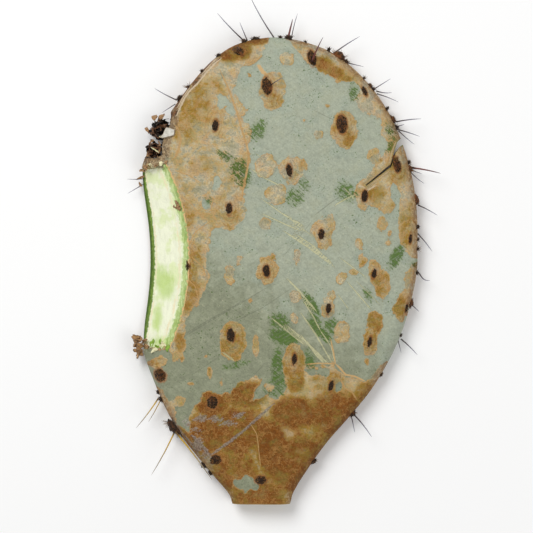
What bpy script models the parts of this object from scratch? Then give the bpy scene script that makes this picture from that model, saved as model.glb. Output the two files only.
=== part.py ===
"""Prickly pear cactus pad, cut from its plant and lying on its back face.

The frame is in metres. The pad rests on z = 0 with its weathered front face up (+Z),
its growing tip towards +Y and its cut stem end towards -Y. Lists of places are in
millimetres, as a grower would measure them on the pad.
"""
import math

import bmesh
import bpy
from mathutils import Matrix, Vector
from mathutils.bvhtree import BVHTree

MM = 0.001

# Section through the pad, in mm: d is the distance in from the outline.
RIM_HEIGHT = 8.5            # height of the rim's widest line above the surface
RIM_TOP_RISE = 6.0          # rounded part of the rim, above the widest line
RIM_TOP_WIDTH = 8.0
CROWN_RISE = 5.5            # slow rise from the rim to the middle
CROWN_WIDTH = 70.0
RIM_UNDER_DROP = 5.0        # rounded part of the rim, below the widest line
RIM_UNDER_WIDTH = 7.0
BELLY_DROP = 3.5            # slow fall to the flat back
BELLY_WIDTH = 34.0
RIM_ROUNDNESS = 2.2
AROUND = 80                 # points round the outline
RINGS = 18                  # rings from the front's middle to the back's
RING_CROWDING = 0.35        # below 1 crowds the rings towards the rim

# The uncut outline, counter-clockwise from the right edge, in mm.
OUTLINE = [
    (82.6, 0.0), (83.0, 14.0), (82.9, 30.0), (81.8, 44.0), (79.4, 57.5),
    (74.6, 74.5), (67.6, 91.4), (58.0, 106.6), (46.0, 120.0), (32.2, 130.6),
    (16.2, 136.9), (0.5, 139.8), (-12.0, 139.2), (-22.0, 136.9), (-32.0, 132.2),
    (-43.2, 123.0), (-53.8, 110.6), (-61.4, 100.2), (-68.2, 90.2), (-74.6, 79.6),
    (-79.6, 69.6), (-82.8, 60.0), (-85.2, 47.0), (-87.2, 26.0), (-87.8, 5.0),
    (-87.0, -14.5), (-84.7, -32.5), (-80.8, -50.0), (-75.4, -64.8), (-68.6, -81.0),
    (-60.0, -96.5), (-49.5, -110.5), (-38.5, -123.6), (-29.5, -134.5), (-26.0, -144.0),
    (-10.5, -150.0), (4.5, -144.0), (8.5, -133.0), (16.0, -120.5), (28.5, -103.0),
    (43.0, -86.4), (55.6, -70.6), (66.2, -53.0), (74.0, -35.5), (79.4, -17.0),
]
STEM_CUT_Y = -139.5         # flat end where the pad was cut from its plant
STEM_CUTTER = (120.0, 40.0, 60.0)
STEM_CUTTER_MIDDLE = (-10.0, STEM_CUT_Y - STEM_CUTTER[1] / 2, 10.0)

# Areole cushions on the front face: centre x, y, radius and height, in mm.
FACE_AREOLES = [
    (-7.2, 109.7, 6.0, 1.5), (-38.1, 86.6, 4.2, 1.1), (37.4, 87.2, 6.5, 1.6),
    (6.0, 59.6, 4.4, 1.2), (-29.9, 37.0, 4.6, 1.2), (50.9, 44.3, 4.2, 1.1),
    (25.2, 21.7, 4.2, 1.1), (-7.5, -0.1, 4.2, 1.1), (19.1, 127.0, 5.0, 1.4),
    (50.9, 107.2, 3.6, 1.0), (56.4, -1.9, 3.6, 1.0), (29.3, -22.4, 3.6, 1.0),
    (-28.7, -38.3, 5.0, 1.3), (54.0, -42.2, 3.6, 1.0), (9.1, -52.4, 3.8, 1.1),
    (31.0, -68.3, 3.8, 1.1), (-70.0, -62.2, 4.0, 1.3), (-39.7, -78.4, 4.6, 1.4),
    (-37.9, -112.0, 4.2, 1.3), (-10.9, -124.0, 4.2, 1.3),
]
# Areole cushions on the rim: centre x, y and height of the middle above the surface, in mm.
RIM_AREOLES = [
    (-21.0, 135.6, 10.0), (2.5, 138.2, 9.5), (37.5, 126.2, 10.5), (57.0, 106.2, 9.5),
    (69.2, 87.0, 9.5), (78.0, 61.4, 9.5), (82.0, 40.8, 9.0), (82.2, 24.5, 10.0),
    (81.8, -1.2, 9.5), (78.0, -19.6, 9.0), (71.8, -39.4, 9.5), (-60.4, 100.2, 9.5),
    (-70.6, -75.4, 9.0), (-60.6, -94.0, 9.5), (-44.6, -116.0, 9.5), (43.4, -84.8, 9.0),
]
RIM_AREOLE_RADIUS = 2.6
SUNK = 0.2                  # how far a face cushion's middle lies under the skin

# The fresh knife cut: a shallow cone swept round a point far off the left edge.
CUT_CENTRE = (-215.2, 7.0)
CUT_RADIUS = 135.0          # at z = 0
CUT_SPREAD = 1.45           # growth of the radius for each mm of height
CUT_WINDOW = [
    (-100.0, 60.5), (-81.5, 61.5), (-71.0, 62.5), (-63.0, 65.0), (-40.0, 65.0),
    (-40.0, -46.5), (-64.0, -45.5), (-78.0, -47.5), (-100.0, -47.5),
]
# The old wound above it, open to the rim.
WOUND = [
    (-100.0, 68.0), (-80.0, 68.5), (-74.0, 67.0), (-69.6, 69.5), (-70.0, 74.0),
    (-69.0, 79.0), (-66.6, 83.5), (-65.0, 88.0), (-64.4, 94.0), (-75.0, 100.0),
    (-100.0, 100.0),
]
# The slit: a notch through the rim that narrows to a hairline, in through one areole.
SLIT = [
    (76.5, 82.5), (70.6, 77.0), (68.6, 71.6), (66.4, 63.6), (51.6, 51.2), (51.9, 50.7),
    (66.9, 62.2), (69.6, 70.6), (72.6, 74.6), (77.5, 77.5),
]

CUTTER_BOTTOM = -5.0        # the cutters reach from below the pad to above it
CUTTER_TOP = 35.0
WINDOW_MARGIN = 5.0         # how much further the window round the knife cut reaches

# Spines: name, base x y z, tip x y z, thickness at the base, bow sideways. All in mm.
SPINES = [
    ("spine_tip_left_long", (-20.8, 137.5, 10.0), (-36.9, 154.1, 13.0), 0.9, 0.4),
    ("spine_tip_left_short", (-19.4, 138.9, 9.0), (-23.6, 149.3, 7.0), 0.8, 0.0),
    ("spine_tip_middle_long", (-3.1, 139.9, 9.5), (-17.4, 164.3, 12.0), 0.9, 0.6),
    ("spine_tip_broken_stub", (5.6, 140.2, 9.5), (8.2, 151.0, 10.5), 1.5, 0.0),
    ("spine_tip_right_thin", (7.6, 140.2, 8.0), (11.2, 154.7, 7.0), 0.7, 0.3),
    ("spine_face_top_red", (19.9, 125.6, 18.6), (26.0, 138.4, 26.0), 1.1, 0.3),
    ("spine_face_upper_short", (-4.6, 110.9, 19.6), (1.9, 114.6, 25.0), 0.7, 0.0),
    ("spine_upper_right_long", (34.0, 131.3, 9.5), (48.4, 140.3, 12.0), 0.9, 0.3),
    ("spine_upper_right_low", (41.4, 124.6, 9.5), (51.0, 122.5, 8.0), 0.7, 0.0),
    ("spine_shoulder_high", (57.4, 109.2, 11.0), (66.8, 114.9, 13.0), 0.7, 0.0),
    ("spine_shoulder_middle", (58.4, 107.6, 8.5), (67.8, 107.1, 7.0), 0.8, -0.5),
    ("spine_shoulder_low", (59.2, 106.0, 10.5), (71.6, 100.9, 12.0), 0.7, 0.3),
    ("spine_slit_level", (69.6, 89.4, 9.5), (85.1, 91.0, 12.0), 0.9, 0.3),
    ("spine_slit_stub", (71.2, 86.6, 11.0), (75.0, 87.6, 12.5), 0.7, 0.0),
    ("spine_slit_upper", (71.9, 84.6, 9.0), (84.3, 80.5, 10.5), 0.8, 0.2),
    ("spine_slit_middle", (72.6, 82.9, 11.0), (80.9, 75.6, 13.5), 0.7, -0.2),
    ("spine_right_thick", (79.2, 62.0, 10.0), (96.5, 58.3, 13.5), 1.2, 0.3),
    ("spine_right_thin", (79.9, 60.4, 7.5), (86.2, 58.2, 5.5), 0.6, 0.0),
    ("spine_right_drooping", (79.4, 58.6, 10.0), (86.9, 52.3, 11.0), 0.7, -0.3),
    ("spine_edge_upper", (83.6, 39.4, 9.5), (95.0, 33.2, 10.0), 0.8, 0.3),
    ("spine_edge_middle", (83.2, 22.4, 9.0), (92.0, 11.6, 7.5), 0.8, 0.3),
    ("spine_edge_hooked", (82.9, -1.6, 9.5), (90.4, -5.8, 11.0), 0.9, -1.2),
    ("spine_edge_stub", (79.9, -20.6, 9.0), (84.0, -24.4, 9.5), 0.7, 0.0),
    ("spine_lower_right_long", (72.8, -40.4, 9.5), (82.9, -50.4, 11.0), 0.9, 0.3),
    ("spine_lower_right_short", (71.6, -42.4, 8.5), (73.4, -49.2, 6.5), 0.6, 0.0),
    ("spine_hidden_edge_long", (44.9, -85.9, 9.0), (55.5, -99.5, 11.0), 0.9, 0.4),
    ("spine_hidden_edge_short", (43.4, -87.0, 9.5), (45.5, -97.0, 8.0), 0.7, 0.0),
    ("spine_upper_left_long", (-61.2, 102.2, 9.5), (-74.6, 109.3, 12.0), 0.8, 0.3),
    ("spine_upper_left_low", (-62.6, 99.8, 9.0), (-70.3, 94.9, 7.5), 0.6, 0.0),
    ("spine_cut_edge_high", (-82.6, 55.2, 6.5), (-91.1, 55.0, 10.5), 0.6, 0.2),
    ("spine_cut_edge_low", (-82.4, 51.6, 5.0), (-91.1, 46.4, 6.0), 0.6, 0.0),
    ("spine_lower_left_long", (-71.9, -76.0, 9.0), (-85.6, -94.1, 12.0), 0.9, 0.4),
    ("spine_lower_left_short", (-71.0, -77.6, 8.0), (-78.5, -90.9, 6.0), 0.7, 0.2),
    ("spine_base_left_straw", (-62.2, -95.8, 9.0), (-76.4, -122.2, 11.0), 1.0, 0.5),
    ("spine_base_left_yellow", (-61.0, -97.3, 13.5), (-39.9, -124.6, 17.5), 1.2, 0.5),
]
STRAW_SPINES = (
    "spine_lower_left_long", "spine_lower_left_short", "spine_base_left_straw", "spine_base_left_yellow",
)
SPINE_STATIONS = 5
SPINE_TIP_SHARE = 0.16      # tip thickness as a share of the base
GAP = 0.3                   # clearance that keeps separate pieces apart

# Outlines of the dried pieces in the wound and at the lower end of the cut, in mm.
CRUST_UPPER = [
    (-66.0, 90.8), (-72.6, 92.2), (-74.0, 90.0), (-72.4, 87.6), (-77.0, 86.0), (-77.4, 82.6),
    (-74.6, 79.8), (-71.6, 78.4), (-69.8, 80.2), (-67.6, 84.0), (-66.0, 87.6),
]
CRUST_LOWER = [
    (-70.6, 77.2), (-74.4, 78.0), (-77.6, 75.6), (-79.2, 71.8), (-77.4, 69.6), (-73.6, 68.4),
    (-70.6, 70.4), (-71.0, 74.0),
]
SKIN_FLAP = [(-67.2, 85.6), (-70.6, 78.8), (-66.6, 79.2), (-62.6, 81.4), (-62.4, 84.6)]
DRIED_SCALE = [
    (-84.2, -39.6), (-86.6, -40.2), (-87.6, -45.0), (-86.8, -48.2), (-88.6, -49.8), (-82.2, -50.4),
    (-83.0, -46.6),
]
# Height of each dried piece's underside above the surface, and its thickness, in mm.
CRUST_UPPER_SPAN = (5.0, 7.0)
CRUST_LOWER_SPAN = (4.0, 8.0)
SKIN_FLAP_SPAN = (16.9, 0.5)
DRIED_SCALE_SPAN = (6.0, 4.5)

SKIN_COLOUR = (0.352, 0.412, 0.337)
SPINE_COLOUR = (0.165, 0.120, 0.110)
STRAW_COLOUR = (0.480, 0.340, 0.120)
CRUST_COLOUR = (0.030, 0.024, 0.020)
FLAP_COLOUR = (0.720, 0.690, 0.610)
SCALE_COLOUR = (0.330, 0.170, 0.075)


def remove_everything():
    for item in list(bpy.data.objects):
        bpy.data.objects.remove(item, do_unlink=True)


def new_collection(name):
    collection = bpy.data.collections.new(name)
    bpy.context.scene.collection.children.link(collection)
    return collection


def make_material(name, colour, roughness):
    material = bpy.data.materials.new(name)
    material.use_nodes = True
    shader = material.node_tree.nodes["Principled BSDF"]
    shader.inputs["Base Color"].default_value = (*colour, 1.0)
    shader.inputs["Roughness"].default_value = roughness
    shader.inputs["Metallic"].default_value = 0.0
    material.diffuse_color = (*colour, 1.0)
    return material


def closed_curve(points, count):
    """A smooth closed curve through the points, as count places evenly spaced along it."""
    steps = 16
    fine = []
    size = len(points)
    for index in range(size):
        before, start, end, after = (Vector(points[(index + k) % size]) for k in (-1, 0, 1, 2))
        for step in range(steps):
            t = step / steps
            fine.append(0.5 * (
                2.0 * start + (end - before) * t
                + (2.0 * before - 5.0 * start + 4.0 * end - after) * t ** 2
                + (3.0 * start - before - 3.0 * end + after) * t ** 3))
    travelled = [0.0]
    for index in range(len(fine)):
        travelled.append(travelled[-1] + (fine[(index + 1) % len(fine)] - fine[index]).length)
    places = []
    index = 0
    for number in range(count):
        wanted = travelled[-1] * number / count
        while travelled[index + 1] < wanted:
            index += 1
        share = (wanted - travelled[index]) / (travelled[index + 1] - travelled[index])
        places.append(fine[index].lerp(fine[(index + 1) % len(fine)], share))
    return places


def distance_to(outline, place):
    """Shortest distance from a place to the closed outline."""
    shortest = math.inf
    for index, start in enumerate(outline):
        side = outline[(index + 1) % len(outline)] - start
        share = max(0.0, min(1.0, (place - start).dot(side) / side.length_squared))
        shortest = min(shortest, (place - start - side * share).length)
    return shortest


def rounded(share):
    """Quarter of a rounded section: 0 at share 0 and level at 1 once share reaches 1."""
    return (1.0 - (1.0 - min(share, 1.0)) ** RIM_ROUNDNESS) ** (1.0 / RIM_ROUNDNESS)


def eased(share):
    return 1.0 - (1.0 - min(share, 1.0)) ** 2


def front_height(d):
    return RIM_HEIGHT + RIM_TOP_RISE * rounded(d / RIM_TOP_WIDTH) + CROWN_RISE * eased(d / CROWN_WIDTH)


def back_height(d):
    return RIM_HEIGHT - RIM_UNDER_DROP * rounded(d / RIM_UNDER_WIDTH) - BELLY_DROP * eased(d / BELLY_WIDTH)


def mesh_object(name, bm, collection, material=None):
    mesh = bpy.data.meshes.new(name)
    bm.normal_update()
    bm.to_mesh(mesh)
    bm.free()
    item = bpy.data.objects.new(name, mesh)
    collection.objects.link(item)
    if material is not None:
        mesh.materials.append(material)
    return item


def make_cutter(item):
    item.display_type = "WIRE"
    item.hide_render = True
    return item


def flat_piece(name, outline, bottom, thickness, collection, material=None):
    """A flat plate with the given outline, as a mesh object. Sizes in mm."""
    curve = bpy.data.curves.new(name, "CURVE")
    curve.dimensions = "2D"
    curve.fill_mode = "BOTH"
    curve.extrude = thickness / 2 * MM
    spline = curve.splines.new("POLY")
    spline.points.add(len(outline) - 1)
    for point, place in zip(spline.points, outline):
        point.co = (place[0] * MM, place[1] * MM, 0.0, 1.0)
    spline.use_cyclic_u = True
    drawn = bpy.data.objects.new(name + "_drawn", curve)
    collection.objects.link(drawn)
    drawn.location.z = (bottom + thickness / 2) * MM
    graph = bpy.context.evaluated_depsgraph_get()
    mesh = bpy.data.meshes.new_from_object(drawn.evaluated_get(graph))
    bm = bmesh.new()
    bm.from_mesh(mesh)
    bmesh.ops.remove_doubles(bm, verts=bm.verts, dist=0.00001)
    bpy.data.meshes.remove(mesh)
    item = mesh_object(name, bm, collection, material)
    item.matrix_world = drawn.matrix_world
    bpy.data.objects.remove(drawn, do_unlink=True)
    return item


def pad_blank(parts, material, outline):
    """The whole pad before any cut: a sphere drawn out to the outline and the section."""
    bm = bmesh.new()
    bmesh.ops.create_uvsphere(bm, u_segments=AROUND, v_segments=RINGS, radius=1.0)
    for vert in bm.verts:
        latitude = math.asin(max(-1.0, min(1.0, vert.co.z)))
        turn = (math.atan2(vert.co.y, vert.co.x) / math.tau) % 1.0
        edge = outline[round(turn * AROUND) % AROUND]
        reach = max(0.0, math.cos(latitude)) ** RING_CROWDING
        if abs(latitude) > math.pi / 2 - 0.001:
            reach = 0.0
        place = edge * reach
        d = distance_to(outline, place)
        height = front_height(d) if latitude > 0.0 else back_height(d)
        if abs(latitude) < 0.001:
            height = RIM_HEIGHT
        vert.co = Vector((place.x, place.y, height)) * MM
    return mesh_object("pad_body", bm, parts, material)


def cushion(bm, centre, radii):
    scale = Matrix.Diagonal((radii[0] * MM, radii[1] * MM, radii[2] * MM, 1.0))
    move = Matrix.Translation(Vector(centre) * MM)
    bmesh.ops.create_uvsphere(bm, u_segments=10, v_segments=6, radius=1.0, matrix=move @ scale)


def areole_cushions(tools, outline):
    """Low round swellings that carry the felt, all in one mesh that is joined to the pad."""
    bm = bmesh.new()
    for x, y, radius, height in FACE_AREOLES:
        surface = front_height(distance_to(outline, Vector((x, y))))
        cushion(bm, (x, y, surface - SUNK), (radius, radius * 1.2, height + SUNK))
    for x, y, middle in RIM_AREOLES:
        cushion(bm, (x, y, middle), (RIM_AREOLE_RADIUS, RIM_AREOLE_RADIUS * 1.1, RIM_AREOLE_RADIUS * 1.2))
    return make_cutter(mesh_object("areole_cushions", bm, tools))


def plate_cutter(name, outline, tools, margin=0.0):
    """A cutter with the given outline that reaches right through the pad."""
    bottom = CUTTER_BOTTOM - margin
    return make_cutter(flat_piece(name, outline, bottom, CUTTER_TOP + margin - bottom, tools))


def knife_cut(tools):
    """The fresh cut: a cone whose wall is the cut face, kept to a window along the left edge."""
    bm = bmesh.new()
    bmesh.ops.create_cone(
        bm, cap_ends=True, segments=128, depth=(CUTTER_TOP - CUTTER_BOTTOM) * MM,
        radius1=(CUT_RADIUS + CUT_SPREAD * CUTTER_BOTTOM) * MM,
        radius2=(CUT_RADIUS + CUT_SPREAD * CUTTER_TOP) * MM,
        matrix=Matrix.Translation(Vector((*CUT_CENTRE, (CUTTER_TOP + CUTTER_BOTTOM) / 2)) * MM))
    cone = make_cutter(mesh_object("knife_cut", bm, tools))
    window = plate_cutter("knife_cut_window", CUT_WINDOW, tools, WINDOW_MARGIN)
    trim(cone, window, "INTERSECT")
    return cone


def stem_cut(tools):
    bm = bmesh.new()
    bmesh.ops.create_cube(bm, size=1.0)
    bmesh.ops.scale(bm, vec=Vector(STEM_CUTTER) * MM, verts=bm.verts)
    item = make_cutter(mesh_object("stem_cut", bm, tools))
    item.location = Vector(STEM_CUTTER_MIDDLE) * MM
    return item


def trim(item, tool, operation):
    step = item.modifiers.new(operation.lower() + "_" + tool.name, "BOOLEAN")
    step.operation = operation
    step.solver = "EXACT"
    step.object = tool
    return step


def make_pad(parts, tools, material):
    outline = closed_curve(OUTLINE, AROUND)
    pad = pad_blank(parts, material, outline)
    trim(pad, areole_cushions(tools, outline), "UNION")
    trim(pad, knife_cut(tools), "DIFFERENCE")
    trim(pad, plate_cutter("old_wound", WOUND, tools), "DIFFERENCE")
    trim(pad, plate_cutter("slit", SLIT, tools), "DIFFERENCE")
    trim(pad, stem_cut(tools), "DIFFERENCE")
    return pad


def surface_tree(item):
    """The finished surface of a piece, for finding how far away a place is."""
    graph = bpy.context.evaluated_depsgraph_get()
    return BVHTree.FromObject(item, graph)


def clear_base(surface, base, tip, radius):
    """The base moved along the spine until its whole end is clear of the pad."""
    direction = (tip - base).normalized()
    step = 0.1 * MM
    start = base.copy()
    while True:
        place, normal, _, distance = surface.find_nearest(start)
        outside = (start - place).dot(normal) > 0.0
        if outside and distance >= radius + GAP * MM:
            return start
        start = start + direction * step


def make_spine(parts, surface, material, name, base, tip, thickness, bow):
    """A tapered spine from the pad's surface to its tip, bowed sideways."""
    radius = thickness / 2 * MM
    tip = Vector(tip) * MM
    start = clear_base(surface, Vector(base) * MM, tip, radius)
    along = tip - start
    sideways = Vector((-along.y, along.x, 0.0)).normalized()
    curve = bpy.data.curves.new(name, "CURVE")
    curve.dimensions = "3D"
    curve.bevel_depth = radius
    curve.bevel_resolution = 2
    curve.use_fill_caps = True
    spline = curve.splines.new("POLY")
    spline.points.add(SPINE_STATIONS - 1)
    for index, point in enumerate(spline.points):
        share = index / (SPINE_STATIONS - 1)
        place = start + along * share + sideways * bow * MM * 4.0 * share * (1.0 - share)
        point.co = (*place, 1.0)
        point.radius = 1.0 - (1.0 - SPINE_TIP_SHARE) * share
    spine = bpy.data.objects.new(name, curve)
    parts.objects.link(spine)
    curve.materials.append(material)


def make_dried_pieces(parts):
    crust = make_material("black_crust", CRUST_COLOUR, 0.9)
    flat_piece("crust_upper", CRUST_UPPER, *CRUST_UPPER_SPAN, parts, crust)
    flat_piece("crust_lower", CRUST_LOWER, *CRUST_LOWER_SPAN, parts, crust)
    flat_piece("skin_flap", SKIN_FLAP, *SKIN_FLAP_SPAN, parts, make_material("papery_skin", FLAP_COLOUR, 0.7))
    flat_piece("dried_scale", DRIED_SCALE, *DRIED_SCALE_SPAN, parts, make_material("brown_scale", SCALE_COLOUR, 0.8))


def main():
    remove_everything()
    parts = new_collection("prickly_pear_pad")
    tools = new_collection("cutters")
    pad = make_pad(parts, tools, make_material("waxy_skin", SKIN_COLOUR, 0.6))
    surface = surface_tree(pad)
    spine_wood = make_material("spine_wood", SPINE_COLOUR, 0.5)
    straw = make_material("spine_straw", STRAW_COLOUR, 0.5)
    for name, *form in SPINES:
        make_spine(parts, surface, straw if name in STRAW_SPINES else spine_wood, name, *form)
    make_dried_pieces(parts)


main()
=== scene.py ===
import math

import bmesh
import bpy
import numpy as np
from bpy.props import FloatProperty, FloatVectorProperty, IntProperty, PointerProperty
from bpy.types import Operator, Panel, PropertyGroup
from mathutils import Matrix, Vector


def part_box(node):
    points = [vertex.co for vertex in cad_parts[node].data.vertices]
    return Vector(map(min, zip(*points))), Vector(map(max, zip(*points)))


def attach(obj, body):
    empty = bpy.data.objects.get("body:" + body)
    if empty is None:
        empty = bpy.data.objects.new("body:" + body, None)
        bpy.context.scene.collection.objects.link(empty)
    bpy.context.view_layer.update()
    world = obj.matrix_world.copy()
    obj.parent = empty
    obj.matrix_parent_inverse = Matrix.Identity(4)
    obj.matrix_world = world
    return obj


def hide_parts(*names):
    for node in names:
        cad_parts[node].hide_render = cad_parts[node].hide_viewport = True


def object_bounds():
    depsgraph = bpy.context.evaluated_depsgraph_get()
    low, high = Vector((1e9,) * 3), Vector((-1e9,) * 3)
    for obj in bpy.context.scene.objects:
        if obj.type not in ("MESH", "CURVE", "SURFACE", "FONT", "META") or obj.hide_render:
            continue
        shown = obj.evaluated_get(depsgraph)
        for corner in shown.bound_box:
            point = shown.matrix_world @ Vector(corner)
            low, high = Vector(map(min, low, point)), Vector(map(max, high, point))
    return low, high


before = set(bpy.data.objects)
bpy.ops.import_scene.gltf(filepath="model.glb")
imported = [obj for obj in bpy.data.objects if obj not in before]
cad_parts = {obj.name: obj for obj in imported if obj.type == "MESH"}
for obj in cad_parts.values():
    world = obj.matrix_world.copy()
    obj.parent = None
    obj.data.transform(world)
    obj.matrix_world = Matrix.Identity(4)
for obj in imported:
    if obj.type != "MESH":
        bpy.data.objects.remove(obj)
cad_low, cad_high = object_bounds()

bl_info = {
    "name": "Prickly Pear Pad",
    "version": (1, 0, 0),
    "blender": (4, 5, 0),
    "location": "3D View > Sidebar > Prickly Pear",
    "description": "A cut prickly pear pad with cork, felt, spines and a fresh knife cut",
    "category": "Add Mesh",
}

MM = 0.001
BODY = "root"
FAR = 60.0                  # mm, beyond anything that a distance on the pad is used for

# ---------------------------------------------------------------- the pad's form, in mm
# The outline, the section and the cuts are the part's own, so the skin lies on its solid.
OUTLINE = [
    (82.6, 0), (83, 14), (82.9, 30), (81.8, 44), (79.4, 57.5), (74.6, 74.5), (67.6, 91.4), (58, 106.6),
    (46, 120), (32.2, 130.6), (16.2, 136.9), (0.5, 139.8), (-12, 139.2), (-22, 136.9), (-32, 132.2),
    (-43.2, 123), (-53.8, 110.6), (-61.4, 100.2), (-68.2, 90.2), (-74.6, 79.6), (-79.6, 69.6),
    (-82.8, 60), (-85.2, 47), (-87.2, 26), (-87.8, 5), (-87, -14.5), (-84.7, -32.5), (-80.8, -50),
    (-75.4, -64.8), (-68.6, -81), (-60, -96.5), (-49.5, -110.5), (-38.5, -123.6), (-29.5, -134.5),
    (-26, -144), (-10.5, -150), (4.5, -144), (8.5, -133), (16, -120.5), (28.5, -103), (43, -86.4),
    (55.6, -70.6), (66.2, -53), (74, -35.5), (79.4, -17),
]
STEM_CUT_Y = -139.5
RIM_HEIGHT = 8.5
RIM_TOP_RISE, RIM_TOP_WIDTH = 6.0, 8.0
CROWN_RISE, CROWN_WIDTH = 5.5, 70.0
RIM_UNDER_DROP, RIM_UNDER_WIDTH = 5.0, 7.0
BELLY_DROP, BELLY_WIDTH = 3.5, 34.0
RIM_ROUNDNESS = 2.2
CUT_CENTRE = (-215.2, 7.0)
CUT_RADIUS, CUT_SPREAD = 135.0, 1.45
CUT_WINDOW = [
    (-100, 60.5), (-81.5, 61.5), (-71, 62.5), (-63, 65), (-40, 65), (-40, -46.5), (-64, -45.5),
    (-78, -47.5), (-100, -47.5),
]
WOUND = [
    (-100, 68), (-80, 68.5), (-74, 67), (-69.6, 69.5), (-70, 74), (-69, 79), (-66.6, 83.5), (-65, 88),
    (-64.4, 94), (-75, 100), (-100, 100),
]
SLIT = [
    (76.5, 82.5), (70.6, 77), (68.6, 71.6), (66.4, 63.6), (51.6, 51.2), (51.9, 50.7), (66.9, 62.2),
    (69.6, 70.6), (72.6, 74.6), (77.5, 77.5),
]
BLADE_BOTTOM, BLADE_HEIGHT = -5.0, 40.0

# ---------------------------------------------------------------- areoles, in mm
# Front face: centre x, y, felt width, felt length, tilt in degrees, wool from 0 (bare slot) to 1.
# The last one is half cut away by the knife, so it has no cushion.
FACE_AREOLES = [
    (-7.2, 109.7, 5.6, 10, 8, 0.9), (-38.1, 86.6, 3.4, 6.6, -6, 0.1), (37.4, 87.2, 6.2, 10.8, 4, 1),
    (6, 59.6, 3.4, 7.2, 4, 0.2), (-29.9, 37, 3.4, 6.6, 2, 0.1), (50.9, 44.3, 3.4, 7, -6, 0.2),
    (25.2, 21.7, 3.6, 6.2, -4, 0.2), (-7.5, -0.1, 3.8, 6.8, 8, 0.2), (19.7, 126.8, 4.8, 9.4, 14, 0.8),
    (50.9, 107.2, 2.4, 6, 26, 0.1), (56.4, -1.9, 2.4, 5.6, -10, 0.1), (29.3, -22.4, 2.8, 6.4, -2, 0.1),
    (-28.7, -38.3, 4.6, 7.8, 6, 0.3), (54, -42.2, 2.4, 5.8, -12, 0.1), (9.1, -52.4, 2.8, 6.2, 0, 0.1),
    (31, -68.3, 2.8, 6.6, -12, 0.1), (-71, -62.2, 6.4, 7.6, 30, 0.8), (-39.7, -78.4, 6.4, 7.2, 0, 0.7),
    (-37.9, -112.6, 6.4, 5.4, 0, 0.7), (-10.9, -124.6, 6, 4.8, 0, 0.6), (70.2, 63.4, 4.6, 9, 12, 0.9),
    (-24.4, 131.4, 7, 4.6, -35, 0.9), (76.2, -22.4, 1.6, 5, -8, 0.2), (78.4, 19.4, 1.8, 5.4, -4, 0.2),
    (-54.4, 3.2, 2.4, 5, 0, 0.5),
]
# Back face: staggered rows inside an oval, with their felt pressed flat.
BACK_ROWS, BACK_STEP, BACK_ROW_STEP, BACK_FIRST_ROW = 7, 36.0, 34.0, -104.0
BACK_OVAL_WIDTH, BACK_OVAL_LENGTH, BACK_OVAL_Y = 74.0, 136.0, 8.0
# Rim tufts: x, y, height, length along the rim, thickness, bristle length, redness 0 to 1.
RIM_TUFTS = [
    (-21.6, 137.2, 10, 3.4, 2.2, 1.8, 0.1), (-14.6, 139.2, 9.5, 5.4, 2, 1.6, 0.1),
    (1.2, 139.8, 9.5, 2.8, 1.6, 1.4, 0.2), (6.2, 139, 9.5, 5, 3.2, 1.6, 0.2),
    (16.6, 136.8, 9, 1.6, 1, 1.8, 0.4), (30.8, 131.6, 10, 2, 3.2, 1.2, 0.1),
    (37, 127.4, 11, 8.6, 4.2, 2, 0.8), (41.4, 124.2, 9, 3.4, 2.2, 1.8, 0.5),
    (52, 113.8, 9.5, 1.6, 1.4, 2.2, 0.3), (55.8, 109.6, 10, 3, 1.8, 1, 0.7),
    (57.4, 107.2, 9.5, 2.6, 1.8, 1.4, 0.1), (65.8, 95.6, 10, 2, 2.6, 0.6, 0.1),
    (68.8, 89, 9.5, 6, 2.6, 1.2, 0.7), (71, 84.2, 9.5, 3.4, 1.8, 1.6, 0.2),
    (78, 63.4, 9.5, 2.6, 2, 1.4, 0.2), (78.8, 59.8, 9.5, 4.4, 2.2, 1.4, 0.8),
    (82, 42, 9.5, 8.6, 2.2, 0.7, 0.8), (83, 25.4, 10, 2.6, 1.8, 0.7, 0.3),
    (83, 18.2, 9, 2.4, 1.4, 1.4, 0.2), (83, 12.6, 9.5, 2.2, 1.2, 2.6, 0.1),
    (82.6, -1.4, 9.5, 2.8, 1.6, 1.4, 0.1), (78.8, -19.4, 9, 6.6, 2.2, 0.8, 0.9),
    (73, -38.2, 9.5, 2.2, 1.2, 1.2, 0.2), (61.4, -61.4, 9, 3.2, 1.4, 0.8, 0.3),
    (44.6, -84.4, 9, 5, 2.4, 1.4, 0.5), (22.4, -111.6, 9, 4.6, 2.2, 1.2, 0.4),
    (-60.2, 101.8, 9.5, 4.4, 2.4, 1.6, 0.2), (-55.4, 108.4, 10, 2.2, 1.6, 3, 0.5),
    (-47.6, 118, 10, 2, 1.4, 1.2, 0.1), (-37.6, 127.6, 10.5, 3, 1.6, 1.2, 0.1),
    (-72.6, -71.2, 9, 3.2, 1.6, 0.8, 0.2), (-71.2, -75.4, 9, 4, 2, 1.2, 0.3),
    (-62.8, -91.8, 10.5, 13.5, 5, 2.4, 0.45), (-46.4, -114.6, 9, 5.4, 2.8, 1.2, 0.3),
    (-42.4, -119, 8.5, 3.6, 2, 1, 0.1),
]

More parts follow.
